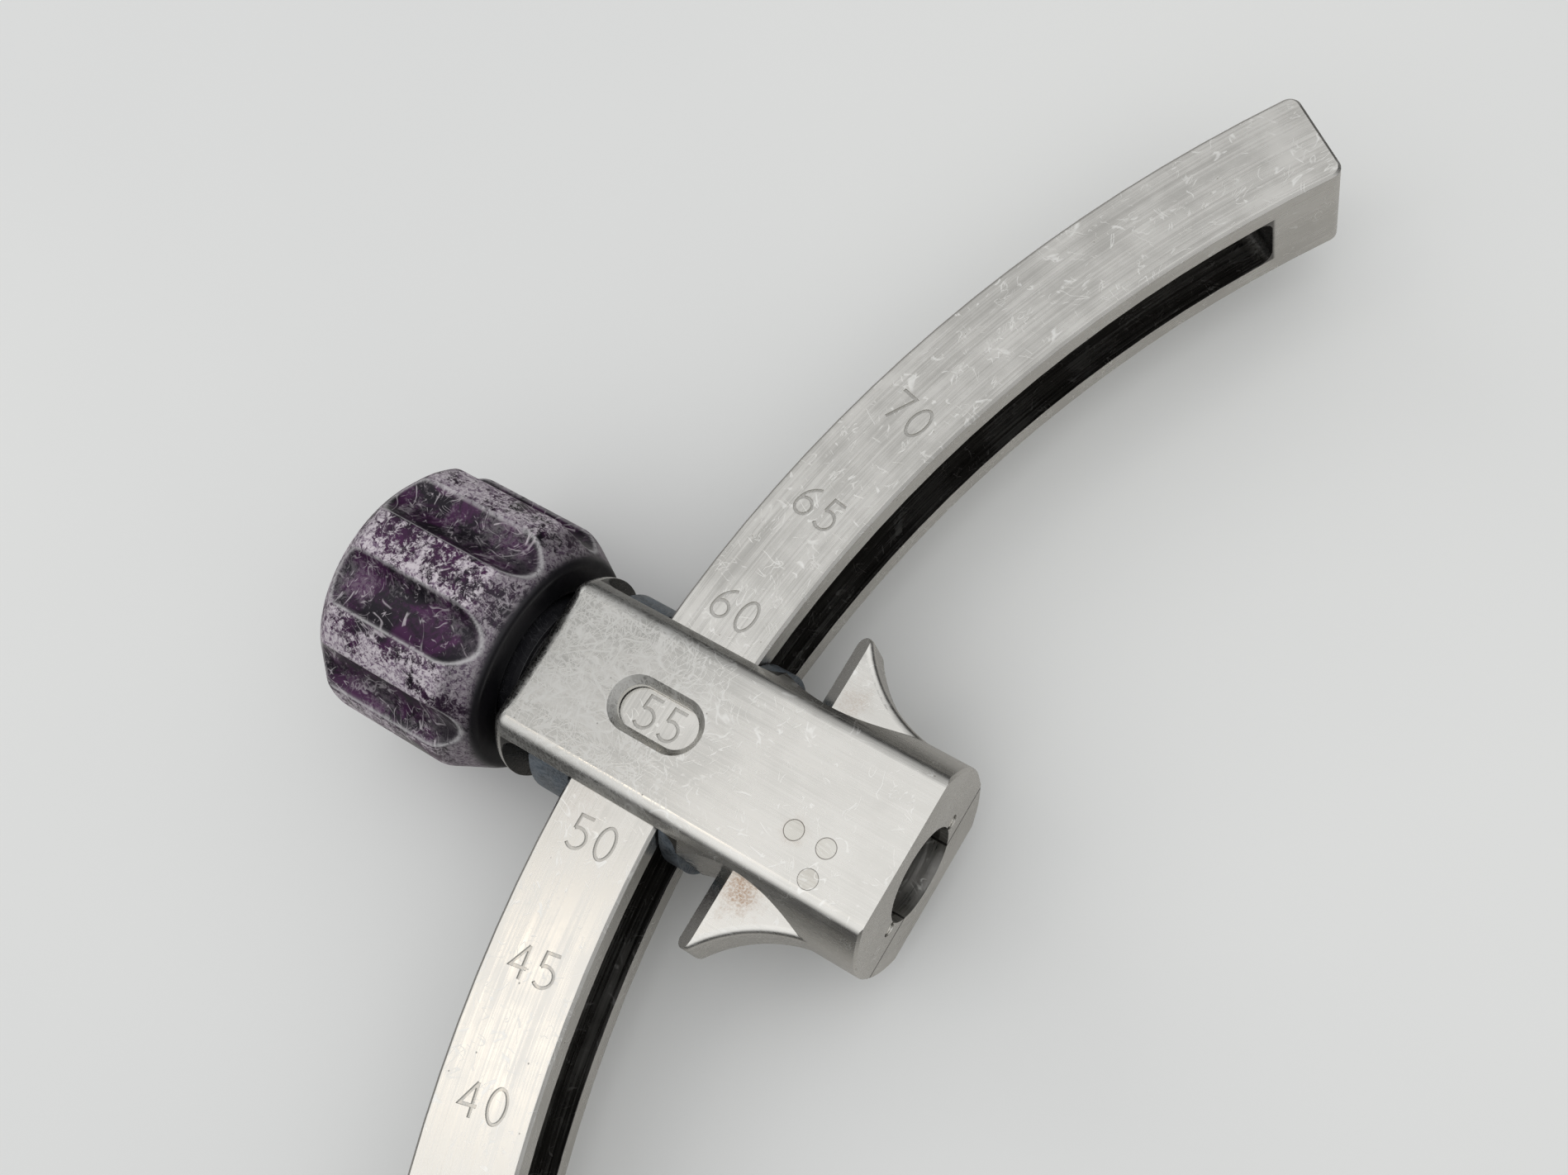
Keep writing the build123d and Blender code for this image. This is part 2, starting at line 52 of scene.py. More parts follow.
ARC_CENTRE_X = 110.0            # the arc's centre on the carriage's axis, in millimetres
BAR_MID_RADIUS = 137.0
Colour = tuple[float, float, float]
Point = tuple[float, float, float]


class Grain(Enum):
    """Which way the fine tool marks run on a metal face."""

    ALONG_AXIS = "along the carriage axis"
    ALONG_ARC = "along the arc bar"
    TURNED = "round the carriage axis"
    ROUND_LOCK = "round the lock screw"
    NONE = "no direction"


class Wiring:
    """A node tree with short ways to add nodes and wire them up."""

    def __init__(self, tree: bpy.types.NodeTree) -> None:
        """Keep the tree.

        Args:
            tree: the node tree of a material, a world or a shader group.
        """
        self.tree = tree

    def node(self, kind: str, **settings: object) -> bpy.types.Node:
        """Add one node.

        Args:
            kind: the node's type name.
            settings: properties to set on it.

        Returns:
            The new node.
        """
        made = self.tree.nodes.new(kind)
        for name, value in settings.items():
            setattr(made, name, value)
        return made

    def feed(self, socket: bpy.types.NodeSocket, value: object) -> None:
        """Link a socket to another, or set its plain value."""
        if isinstance(value, bpy.types.NodeSocket):
            self.tree.links.new(value, socket)
        else:
            socket.default_value = value

    def math(self, operation: str, first: object, second: object = 0.0,
             clamp: bool = False) -> bpy.types.NodeSocket:
        """One Math node.

        Args:
            operation: the node's operation.
            first: left value or socket.
            second: right value or socket.
            clamp: keep the result between 0 and 1.

        Returns:
            The value socket.
        """
        made = self.node("ShaderNodeMath", operation=operation, use_clamp=clamp)
        self.feed(made.inputs[0], first)
        self.feed(made.inputs[1], second)
        return made.outputs[0]

    def times(self, first: object, second: object) -> bpy.types.NodeSocket:
        """The product of two numbers."""
        return self.math("MULTIPLY", first, second)

    def plus(self, first: object, second: object) -> bpy.types.NodeSocket:
        """The sum of two numbers."""
        return self.math("ADD", first, second)

    def minus(self, first: object, second: object) -> bpy.types.NodeSocket:
        """The first number less the second."""
        return self.math("SUBTRACT", first, second)

    def apart(self, first: object, second: object) -> bpy.types.NodeSocket:
        """How far apart two numbers are."""
        return self.math("ABSOLUTE", self.minus(first, second))

    def vector(self, operation: str, first: object, second: object) -> bpy.types.NodeSocket:
        """One Vector Math node of two vectors.

        Args:
            operation: the node's operation.
            first: left vector or socket.
            second: right vector or socket.

        Returns:
            The vector socket, or the value socket of a length or a distance.
        """
        made = self.node("ShaderNodeVectorMath", operation=operation)
        self.feed(made.inputs[0], first)
        self.feed(made.inputs[1], second)
        return made.outputs["Value" if operation in ("LENGTH", "DISTANCE") else "Vector"]

    def split(self, value: object) -> tuple[bpy.types.NodeSocket, bpy.types.NodeSocket, bpy.types.NodeSocket]:
        """The three parts of a vector."""
        made = self.node("ShaderNodeSeparateXYZ")
        self.feed(made.inputs[0], value)
        return made.outputs[0], made.outputs[1], made.outputs[2]

    def join(self, x: object, y: object, z: object) -> bpy.types.NodeSocket:
        """A vector from three parts."""
        made = self.node("ShaderNodeCombineXYZ")
        for socket, value in zip(made.inputs, (x, y, z)):
            self.feed(socket, value)
        return made.outputs[0]

    def noise(self, place: object, scale: float, detail: float = 2.0, rough: float = 0.5,
              bend: float = 0.0) -> bpy.types.NodeSocket:
        """Noise value at a place.

        Args:
            place: vector socket.
            scale: waves in one unit of the place.
            detail: octaves.
            rough: weight of the small octaves.
            bend: distortion.

        Returns:
            The value socket, about 0.5 on average.
        """
        made = self.node("ShaderNodeTexNoise")
        self.feed(made.inputs["Vector"], place)
        for name, value in (("Scale", scale), ("Detail", detail), ("Roughness", rough), ("Distortion", bend)):
            self.feed(made.inputs[name], value)
        return made.outputs[0]

    def step(self, value: object, low: object, high: object, start: float = 0.0,
             end: float = 1.0) -> bpy.types.NodeSocket:
        """Smooth step of a value.

        Args:
            value: what is mapped.
            low: value where the result is start.
            high: value where the result is end.
            start: result at or below low.
            end: result at or above high.

        Returns:
            The mapped socket.
        """
        made = self.node("ShaderNodeMapRange", interpolation_type="SMOOTHSTEP")
        for name, part in (("Value", value), ("From Min", low), ("From Max", high), ("To Min", start),
                           ("To Max", end)):
            self.feed(made.inputs[name], part)
        return made.outputs[0]

    def blend(self, share: object, first: object, second: object) -> bpy.types.NodeSocket:
        """Mix two colours.

        Args:
            share: how much of the second.
            first: colour or socket.
            second: colour or socket.

        Returns:
            The colour socket.
        """
        made = self.node("ShaderNodeMix", data_type="RGBA")
        self.feed(made.inputs[0], share)
        for socket, value in ((made.inputs[6], first), (made.inputs[7], second)):
            self.feed(socket, (*value, 1.0) if isinstance(value, tuple) else value)
        return made.outputs[2]

    def tint(self, colour: object, mask: object, strength: object, shade: Colour) -> bpy.types.NodeSocket:
        """Lay a shade over a colour where a mask says, at a strength."""
        return self.blend(self.times(mask, strength), colour, shade)

    def lerp(self, share: object, first: object, second: object) -> bpy.types.NodeSocket:
        """Mix two numbers.

        Args:
            share: how much of the second.
            first: value or socket.
            second: value or socket.

        Returns:
            The value socket.
        """
        made = self.node("ShaderNodeMix", data_type="FLOAT")
        self.feed(made.inputs[0], share)
        self.feed(made.inputs[2], first)
        self.feed(made.inputs[3], second)
        return made.outputs[0]

    def most(self, *values: object) -> bpy.types.NodeSocket:
        """The largest of several values."""
        result = values[0]
        for value in values[1:]:
            result = self.math("MAXIMUM", result, value)
        return result

    def group(self, tree: bpy.types.NodeTree, **values: object) -> bpy.types.Node:
        """Place a shader group.

        Args:
            tree: the group.
            values: inputs by name, with _ for a space.

        Returns:
            The group node.
        """
        made = self.node("ShaderNodeGroup", node_tree=tree)
        for name, value in values.items():
            self.feed(made.inputs[name.replace("_", " ")], value)
        return made


class EffectGroups:
    """Shader groups that several finishes share, each built once."""

    def __init__(self) -> None:
        """Build every group."""
        self.scratches = self._scratches()
        self.brushing = self._brushing()
        self.stain = self._stain()
        self.pits = self._pits()

    @staticmethod
    def _start(name: str, inputs: dict[str, object], outputs: tuple[str, ...]) -> tuple[Wiring, dict, object]:
        """Make an empty group.

        Args:
            name: the group's name.
            inputs: default by input name, a tuple for a vector and a number for a value.
            outputs: names of the value outputs.

        Returns:
            The wiring, the input sockets by name, and the output node.
        """
        tree = bpy.data.node_groups.new(name, "ShaderNodeTree")
        for label, default in inputs.items():
            kind = "NodeSocketVector" if isinstance(default, tuple) else "NodeSocketFloat"
            tree.interface.new_socket(label, in_out="INPUT", socket_type=kind).default_value = default
        for label in outputs:
            tree.interface.new_socket(label, in_out="OUTPUT", socket_type="NodeSocketFloat")
        wires = Wiring(tree)
        entry = wires.node("NodeGroupInput")
        return wires, {label: entry.outputs[label] for label in inputs}, wires.node("NodeGroupOutput")

    def _scratches(self) -> bpy.types.NodeTree:
        """Thin bent lines in several directions: where stretched noise crosses its middle, cut into short
        runs.

        Returns:
            The group, with a Mask output.
        """
        wires, entry, leave = self._start(
            "Scratches", {"Place": (0.0, 0.0, 0.0), "Pitch": 1.0, "Width": 0.02, "Amount": 0.5, "Bend": 0.6},
            ("Mask",))
        wobble = wires.node("ShaderNodeTexNoise")
        wires.feed(wobble.inputs["Vector"], entry["Place"])
        wires.feed(wobble.inputs["Scale"], 0.11)
        push = wires.node("ShaderNodeVectorMath", operation="SCALE")
        wires.feed(push.inputs[0], wires.vector("SUBTRACT", wobble.outputs["Color"], (0.5, 0.5, 0.5)))
        wires.feed(push.inputs["Scale"], wires.times(entry["Bend"], 9.0))
        bent = wires.vector("ADD", entry["Place"], push.outputs[0])
        lines = []
        for index, turn in enumerate((0.35, 1.25, 2.2, 2.85)):
            spin = wires.node("ShaderNodeVectorRotate", rotation_type="EULER_XYZ")
            wires.feed(spin.inputs["Vector"], bent)
            wires.feed(spin.inputs["Rotation"], (0.4 * index, 0.3, turn))
            x, y, z = wires.split(spin.outputs[0])
            thin = wires.join(wires.times(x, 0.16), y, wires.times(z, 0.5))
            wave = wires.noise(wires.vector("ADD", thin, (7.3 * index, 0.0, 0.0)), entry["Pitch"], 1.0)
            line = wires.step(wires.apart(wave, 0.5), 0.0, entry["Width"], 1.0, 0.0)
            cut = wires.noise(wires.vector("ADD", bent, (0.0, 11.0 * index, 3.0)), 0.42, 2.0)
            gate = wires.minus(0.72, wires.times(entry["Amount"], 0.3))
            run = wires.step(cut, gate, wires.plus(gate, 0.05))
            lines.append(wires.times(line, run))
        wires.feed(leave.inputs["Mask"], wires.most(*lines))
        return wires.tree

    def _brushing(self) -> bpy.types.NodeTree:
        """Streaks along the first part of the place: two bands of noise squeezed across it and drawn out
        along it.

        Returns:
            The group, with a Value output.
        """
        wires, entry, leave = self._start("Brushing", {"Place": (0.0, 0.0, 0.0), "Pitch": 5.0, "Run": 0.15},
                                          ("Value",))
        x, y, z = wires.split(entry["Place"])
        along = wires.times(x, entry["Run"])
        across = wires.times(y, entry["Pitch"])
        deep = wires.times(z, entry["Pitch"])
        fine = wires.noise(wires.join(along, across, deep), 1.0, 3.0, 0.6)
        broad = wires.noise(wires.join(wires.times(along, 0.3), wires.times(across, 0.22),
                                       wires.times(deep, 0.22)), 1.0, 2.0, 0.5)
        wires.feed(leave.inputs["Value"],
                   wires.plus(wires.times(fine, 0.65), wires.times(broad, 0.35)))
        return wires.tree

    def _stain(self) -> bpy.types.NodeTree:
        """A patch that fades from a centre and is broken up by noise.

        Returns:
            The group, with a Mask output.
        """
        wires, entry, leave = self._start(
            "Stain", {"Place": (0.0, 0.0, 0.0), "Centre": (0.0, 0.0, 0.0), "Reach": 3.0, "Break": 1.0},
            ("Mask",))
        away = wires.vector("DISTANCE", entry["Place"], entry["Centre"])
        ragged = wires.times(wires.minus(wires.noise(entry["Place"], 0.9, 4.0, 0.65), 0.5),
                             wires.times(entry["Reach"], 1.6))
        near = wires.step(wires.plus(away, ragged), 0.0, entry["Reach"], 1.0, 0.0)
        speck = wires.step(wires.noise(entry["Place"], 4.5, 3.0, 0.7), 0.36, 0.62)
        wires.feed(leave.inputs["Mask"],
                   wires.times(near, wires.lerp(entry["Break"], 1.0, speck)))
        return wires.tree

    def _pits(self) -> bpy.types.NodeTree:
        """Small round marks scattered one to a cell, where a second noise lets them through.

        Returns:
            The group, with a Mask output.
        """
        wires, entry, leave = self._start("Pits", {"Place": (0.0, 0.0, 0.0), "Pitch": 1.0, "Size": 0.12,
                                                   "Amount": 0.4}, ("Mask",))
        cell = wires.node("ShaderNodeTexVoronoi", feature="F1")
        wires.feed(cell.inputs["Vector"], entry["Place"])
        wires.feed(cell.inputs["Scale"], entry["Pitch"])
        dot = wires.step(cell.outputs["Distance"], wires.times(entry["Size"], 0.5), entry["Size"],
                         1.0, 0.0)
        gate = wires.minus(1.0, entry["Amount"])
        pick = wires.split(cell.outputs["Color"])[0]
        wires.feed(leave.inputs["Mask"], wires.times(dot, wires.math("GREATER_THAN", pick, gate)))
        return wires.tree


@dataclass(frozen=True)
class Stain:
    """One discoloured patch: its centre and reach in millimetres, its strength and its colour."""

    centre: Point
    reach: float
    strength: float
    colour: Colour = (0.33, 0.21, 0.13)


@dataclass(frozen=True)
class Ring:
    """The thin dark joint round a flush pin: its centre, radius and width in millimetres, seen from above."""

    centre: tuple[float, float]
    strength: float = 0.6
    radius: float = 0.95
    width: float = 0.06


@dataclass(frozen=True)
class PaintedShadeBox:
    """An inside that light hardly reaches, darkened with painted shade: the corners of its box, in
    millimetres.
    """

    low: Point
    high: Point
    strength: float = 0.8


@dataclass(frozen=True)
class Finish:
    """What every finish shares: a name, and the start and end of its node tree."""

    name: str

    def _begin(self) -> tuple[bpy.types.Material, Wiring, bpy.types.Node, bpy.types.NodeSocket]:
        """Make an empty material.

        Returns:
            The material, its wiring, its shader, and the object place in millimetres.
        """
        material = bpy.data.materials.new(self.name)
        material.use_nodes = True
        wires = Wiring(material.node_tree)
        shader = next(n for n in material.node_tree.nodes if n.type == "BSDF_PRINCIPLED")
        scaled = wires.node("ShaderNodeVectorMath", operation="SCALE")
        wires.feed(scaled.inputs[0], wires.node("ShaderNodeTexCoord").outputs["Object"])
        wires.feed(scaled.inputs["Scale"], 1.0 / MM)
        return material, wires, shader, scaled.outputs[0]

    @staticmethod
    def _relief(wires: Wiring, shader: bpy.types.Node, height: object, depth: float,
                corner: float = 0.0) -> None:
        """Drive the normal from a height, over softened corners.

        Args:
            wires: the material's wiring.
            shader: the material's shader.
            height: height socket.
            depth: what a height of 1 stands for, in millimetres.
            corner: radius of the softened corners, in millimetres.
        """
        bump = wires.node("ShaderNodeBump")
        wires.feed(bump.inputs["Strength"], 1.0)
        wires.feed(bump.inputs["Distance"], depth * MM)
        wires.feed(bump.inputs["Height"], height)
        if corner:
            soft = wires.node("ShaderNodeBevel", samples=4)
            wires.feed(soft.inputs["Radius"], corner * MM)
            wires.feed(bump.inputs["Normal"], soft.outputs[0])
        wires.feed(shader.inputs["Normal"], bump.outputs[0])


def grain_place(wires: Wiring, place: bpy.types.NodeSocket, grain: Grain) -> bpy.types.NodeSocket:
    """Turn a place so that its first part runs with the tool marks.

    Args:
        wires: the material's wiring.
        place: object place in millimetres.
        grain: which way the marks run.

    Returns:
        A vector of (along, across, depth) in millimetres.
    """
    x, y, z = wires.split(place)
    if grain is Grain.ALONG_ARC:
        out = wires.minus(ARC_CENTRE_X, x)
        angle = wires.math("ARCTAN2", y, out)
        radius = wires.math("POWER", wires.plus(wires.times(out, out),
                                                wires.times(y, y)), 0.5)
        return wires.join(wires.times(angle, ARC_CENTRE_X), radius, z)
    if grain in (Grain.TURNED, Grain.ROUND_LOCK):
        radius = wires.math("POWER", wires.plus(wires.times(y, y),
                                                wires.times(z, z)), 0.5)
        lie = x if grain is Grain.TURNED else wires.plus(x, y)
        return wires.join(wires.plus(y, z), lie, radius if grain is Grain.TURNED else z)
    return place


@dataclass(frozen=True)
class SteelFinish(Finish):
    """Stainless steel with tool marks, scratches, small pits and stains, and painted shade in the bar's slot
    and the body's hollows.

    Sizes are in millimetres and angles in degrees.
    """

    groups: EffectGroups
    grain: Grain = Grain.NONE
    light: Colour = (0.71, 0.70, 0.67)
    dark: Colour = (0.59, 0.58, 0.55)
    roughness: float = 0.25
    brush_pitch: float = 5.0
    brush_run: float = 0.12
    brush_depth: float = 0.004
    scratch_amount: float = 0.35
    scratch_pitch: float = 0.9
    corner: float = 0.05
    rings: tuple[Ring, ...] = ()
    # boxes whose insides get painted shade
    hollows: tuple[PaintedShadeBox, ...] = ()
    seam_height: float | None = None
    stains: tuple[Stain, ...] = ()
    worn_from: float | None = None
    # slot_half and slot_ends bound the bar's slot, whose inside gets painted shade
    slot_half: float | None = None
    slot_ends: tuple[float, float] = (-30.0, 32.3)
    engraved_face: float | None = None
    engraved_reach: float = 3.4
    mottled: Colour = (0.60, 0.585, 0.54)
    bright_line: Colour = (0.90, 0.90, 0.88)
    pitted: Colour = (0.20, 0.18, 0.155)
    worn: Colour = (0.36, 0.36, 0.345)
    # colour of the painted shade inside the bar's slot
    slot_painted_shade: Colour = (0.065, 0.062, 0.060)
    engraved_dark: Colour = (0.22, 0.215, 0.20)
    ring_dark: Colour = (0.14, 0.11, 0.085)
    # colour of the painted shade inside the boxes
    hollow_painted_shade: Colour = (0.05, 0.048, 0.046)
    seam_dark: Colour = (0.04, 0.035, 0.03)

    @staticmethod
    def _within(wires: Wiring, place: bpy.types.NodeSocket, hollow: PaintedShadeBox) -> bpy.types.NodeSocket:
        """Share of 1 inside a box and 0 outside it.

        Args:
            wires: the material's wiring.
            place: object place in millimetres.
            hollow: the box.

        Returns:
            The share.
        """
        share: object = 1.0
        for part, low, high in zip(wires.split(place), hollow.low, hollow.high):
            middle, half = (low + high) / 2, (high - low) / 2
            off = wires.apart(part, middle)
            share = wires.times(share, wires.step(off, half - 0.05, half + 0.05, 1.0, 0.0))
        return share

    def build(self) -> bpy.types.Material:
        """Make the material.

        Returns:
            The material.
        """
        material, wires, shader, place = self._begin()
        lay = grain_place(wires, place, self.grain)
        brush = wires.group(self.groups.brushing, Place=lay, Pitch=self.brush_pitch,
                            Run=self.brush_run).outputs[0]
        cloud = wires.noise(place, 0.16, 4.0, 0.6)
        mottle = wires.noise(place, 1.3, 5.0, 0.7)
        amount: object = self.scratch_amount
        if self.worn_from is not None:
            x = wires.split(place)[0]
            amount = wires.step(x, self.worn_from + 8.0, self.worn_from - 6.0, self.scratch_amount * 0.5,
                                self.scratch_amount * 1.7)
        coarse = wires.group(self.groups.scratches, Place=place, Pitch=self.scratch_pitch, Width=0.022,
                             Amount=amount, Bend=0.5).outputs[0]
        hair = wires.group(self.groups.scratches, Place=wires.vector("ADD", place, (31.0, 17.0, 5.0)),
                           Pitch=self.scratch_pitch * 1.7, Width=0.026, Amount=amount, Bend=0.9).outputs[0]
        pits = wires.group(self.groups.pits, Place=place, Pitch=0.8, Size=0.09, Amount=0.22).outputs[0]
        shade = wires.plus(wires.times(brush, 0.55), wires.times(cloud, 0.45))
        colour = wires.blend(wires.step(shade, 0.36, 0.62), self.dark, self.light)
        colour = wires.tint(colour, wires.step(mottle, 0.52, 0.72), 0.10, self.mottled)
        colour = wires.tint(colour, wires.most(coarse, wires.times(hair, 0.7)), 0.65, self.bright_line)
        colour = wires.tint(colour, pits, 0.55, self.pitted)
        if self.worn_from is not None:
            tail = wires.step(wires.split(place)[0], self.worn_from + 10.0, self.worn_from - 10.0)
            colour = wires.tint(colour, tail, 0.45, self.worn)
        # Painted shade: the inside of the bar's slot is darkened towards near black, streaked by the
        # brushing, where light hardly gets in
        if self.slot_half is not None:
            inside = wires.step(wires.math("ABSOLUTE", wires.split(place)[2]),
                                self.slot_half, self.slot_half + 0.03, 1.0, 0.0)
            first, last = (math.radians(angle) * ARC_CENTRE_X for angle in self.slot_ends)
            off = wires.apart(wires.split(lay)[0], (first + last) / 2)
            half = (last - first) / 2
            inside = wires.times(inside, wires.step(off, half, half + 0.3, 1.0, 0.0))
            streak = wires.step(brush, 0.35, 0.65, 0.93, 0.70)
            colour = wires.tint(colour, inside, streak, self.slot_painted_shade)
        if self.engraved_face is not None:
            off = wires.apart(wires.split(lay)[1], BAR_MID_RADIUS)
            cut = wires.step(wires.split(place)[2], self.engraved_face - 0.06, self.engraved_face - 0.01, 1.0,
                             0.0)
            high = wires.step(wires.split(place)[2], self.engraved_face - 1.0, self.engraved_face - 0.9)
            band = wires.step(off, self.engraved_reach, self.engraved_reach + 0.1, 1.0, 0.0)
            mask = wires.times(wires.times(cut, high), band)
            colour = wires.tint(colour, mask, 0.45, self.engraved_dark)
        for ring in self.rings:
            away = wires.vector("DISTANCE", wires.join(*wires.split(place)[:2], 0.0), (*ring.centre, 0.0))
            line = wires.step(wires.apart(away, ring.radius), ring.width * 0.4,
                              ring.width, 1.0, 0.0)
            colour = wires.tint(colour, line, ring.strength, self.ring_dark)
        # Painted shade: each box's inside is darkened towards near black
        for hollow in self.hollows:
            mask = self._within(wires, place, hollow)
            colour = wires.tint(colour, mask, hollow.strength, self.hollow_painted_shade)
        if self.seam_height is not None:
            gap = wires.apart(wires.split(place)[2], self.seam_height)
            colour = wires.blend(wires.step(gap, 0.06, 0.14, 0.9, 0.0), colour, self.seam_dark)
        for stain in self.stains:
            mask = wires.group(self.groups.stain, Place=place, Centre=stain.centre, Reach=stain.reach,
                               Break=0.75).outputs[0]
            colour = wires.tint(colour, mask, stain.strength, stain.colour)
        wires.feed(shader.inputs["Base Color"], colour)
        wires.feed(shader.inputs["Metallic"], 1.0)
        rough = wires.plus(wires.step(brush, 0.3, 0.7, self.roughness - 0.07, self.roughness + 0.08),
                           wires.step(cloud, 0.35, 0.7, -0.03, 0.06))
        rough = wires.plus(rough, wires.times(wires.most(coarse, hair), 0.14))
        wires.feed(shader.inputs["Roughness"], wires.plus(rough, wires.times(pits, 0.25)))
        height = wires.plus(brush, wires.times(mottle, 0.2))
        height = wires.minus(height, wires.times(wires.most(coarse, hair), 0.55))
        height = wires.minus(height, wires.times(pits, 1.2))
        self._relief(wires, shader, height, self.brush_depth, self.corner)
        return material


@dataclass(frozen=True)
class AnodisedFinish(Finish):
    """Blue-grey anodised sliding pads, scuffed pale where the bar rubs them."""

    groups: EffectGroups
    base: Colour = (0.030, 0.042, 0.058)
    pale: Colour = (0.13, 0.165, 0.205)
    rubbed: Colour = (0.42, 0.46, 0.50)

    def build(self) -> bpy.types.Material:
        """Make the material.

        Returns:
            The material.
        """
        material, wires, shader, place = self._begin()
        cloud = wires.noise(place, 0.55, 4.0, 0.65)
        rub = wires.group(self.groups.scratches, Place=place, Pitch=2.0, Width=0.05, Amount=1.1,
                          Bend=1.0).outputs[0]
        fine = wires.group(self.groups.scratches, Place=wires.vector("ADD", place, (9.0, 3.0, 1.0)),
                           Pitch=4.5, Width=0.05, Amount=1.0, Bend=0.7).outputs[0]
        colour = wires.blend(wires.step(cloud, 0.33, 0.68), self.base, self.pale)
        marks = wires.most(rub, wires.times(fine, 0.7))
        colour = wires.tint(colour, marks, 0.5, self.rubbed)
        wires.feed(shader.inputs["Base Color"], colour)
        wires.feed(shader.inputs["Metallic"], 0.85)
        wires.feed(shader.inputs["Roughness"], wires.plus(wires.step(cloud, 0.3, 0.7, 0.30, 0.46),
                                                          wires.times(marks, 0.12)))
        height = wires.minus(wires.noise(place, 3.0, 3.0), marks)
        self._relief(wires, shader, height, 0.012, 0.15)
        return material


@dataclass(frozen=True)
class KnobFinish(Finish):
    """Purple anodised aluminium, rubbed to bare grey on ridges and flute rims; painted shade makes the flutes
    a touch darker and the inner end and its face near black.
    """

    groups: EffectGroups
    # deep is the dark end of the anodise's tone and also the painted shade of the inner taper
    deep: Colour = (0.010, 0.007, 0.013)
    purple: Colour = (0.060, 0.014, 0.062)
    scuffed: Colour = (0.62, 0.57, 0.61)
    bare: Colour = (0.55, 0.54, 0.55)
    # near black painted shade of the inner face and its recess
    painted_shade_black: Colour = (0.010, 0.010, 0.012)
    dull: Colour = (0.13, 0.075, 0.14)

    def build(self) -> bpy.types.Material:
        """Make the material; it reads the ridge and rim shares, and the shares of painted shade on the inner
        end and its face, stored on the knob's mesh.

        Returns:
            The material.
        """
        material, wires, shader, place = self._begin()
        ridge, rim, painted_shade_face, painted_shade_taper = (wires.node("ShaderNodeAttribute", attribute_name=name).outputs["Fac"]
                                   for name in ("ridge", "rim", "painted_shade_face", "painted_shade_taper"))
        cloud = wires.noise(place, 0.30, 5.0, 0.7, 0.4)
        patch = wires.noise(wires.vector("ADD", place, (5.0, 40.0, 2.0)), 0.16, 3.0, 0.6)
        speck = wires.noise(place, 2.2, 6.0, 0.75, 0.8)
        flake = wires.noise(wires.vector("ADD", place, (0.0, 3.0, 9.0)), 0.95, 6.0, 0.75, 1.0)
        long_lines = wires.group(self.groups.scratches, Place=place, Pitch=0.7, Width=0.02, Amount=0.5,
                                 Bend=0.7).outputs[0]
        short_lines = wires.group(self.groups.scratches, Place=wires.vector("ADD", place, (13.0, 7.0, 21.0)),
                                  Pitch=1.5, Width=0.032, Amount=0.42, Bend=1.2).outputs[0]
        # Painted shade: the flutes come out a touch darker than the ridges
        colour = wires.blend(wires.step(wires.plus(cloud, wires.times(ridge, 0.04)), 0.42, 0.62),
                             self.deep, self.purple)
        # Painted shade: the inner taper, which faces the carriage body, is darkened to the deep purple
        colour = wires.tint(colour, painted_shade_taper, 0.7, self.deep)
        outside = wires.math("SUBTRACT", 1.0, wires.most(painted_shade_face, wires.times(painted_shade_taper, 0.55)), True)
        rubbed = wires.plus(wires.plus(wires.times(flake, 0.42),
                                       wires.times(patch, 0.58)),
                            wires.times(ridge, 0.05))
        worn = wires.times(wires.step(wires.plus(wires.times(rubbed, 0.8),
                                                 wires.times(speck, 0.2)), 0.50, 0.55),
                           wires.lerp(ridge, 0.15, 1.0))
        chipped = wires.step(wires.plus(wires.times(flake, 0.5),
                                        wires.times(speck, 0.5)), 0.60, 0.62)
        edge = wires.times(rim, wires.step(wires.plus(speck, flake), 0.70, 0.98))
        scuff = wires.times(wires.most(worn, wires.times(chipped, 0.7)), outside)
        tone = wires.blend(wires.step(speck, 0.38, 0.58), self.dull, self.scuffed)
        colour = wires.blend(scuff, colour, tone)
        lines = wires.times(wires.most(wires.times(long_lines, 0.8),
                                       wires.times(short_lines, 0.6)), outside)
        colour = wires.tint(colour, lines, 0.8, self.scuffed)
        colour = wires.tint(colour, edge, 0.75, self.bare)
        # Painted shade: the inner face and the bore recess are painted near black
        colour = wires.tint(colour, painted_shade_face, 0.93, self.painted_shade_black)
        wires.feed(shader.inputs["Base Color"], colour)
        raw = wires.most(scuff, edge)
        wires.feed(shader.inputs["Metallic"], wires.lerp(raw, 0.5, 0.2))
        wires.feed(shader.inputs["Roughness"], wires.plus(wires.step(cloud, 0.35, 0.65, 0.27, 0.42),
                                                          wires.times(raw, 0.20)))
        height = wires.minus(wires.times(speck, 0.5), wires.most(lines, scuff))
        self._relief(wires, shader, height, 0.025)
        return material


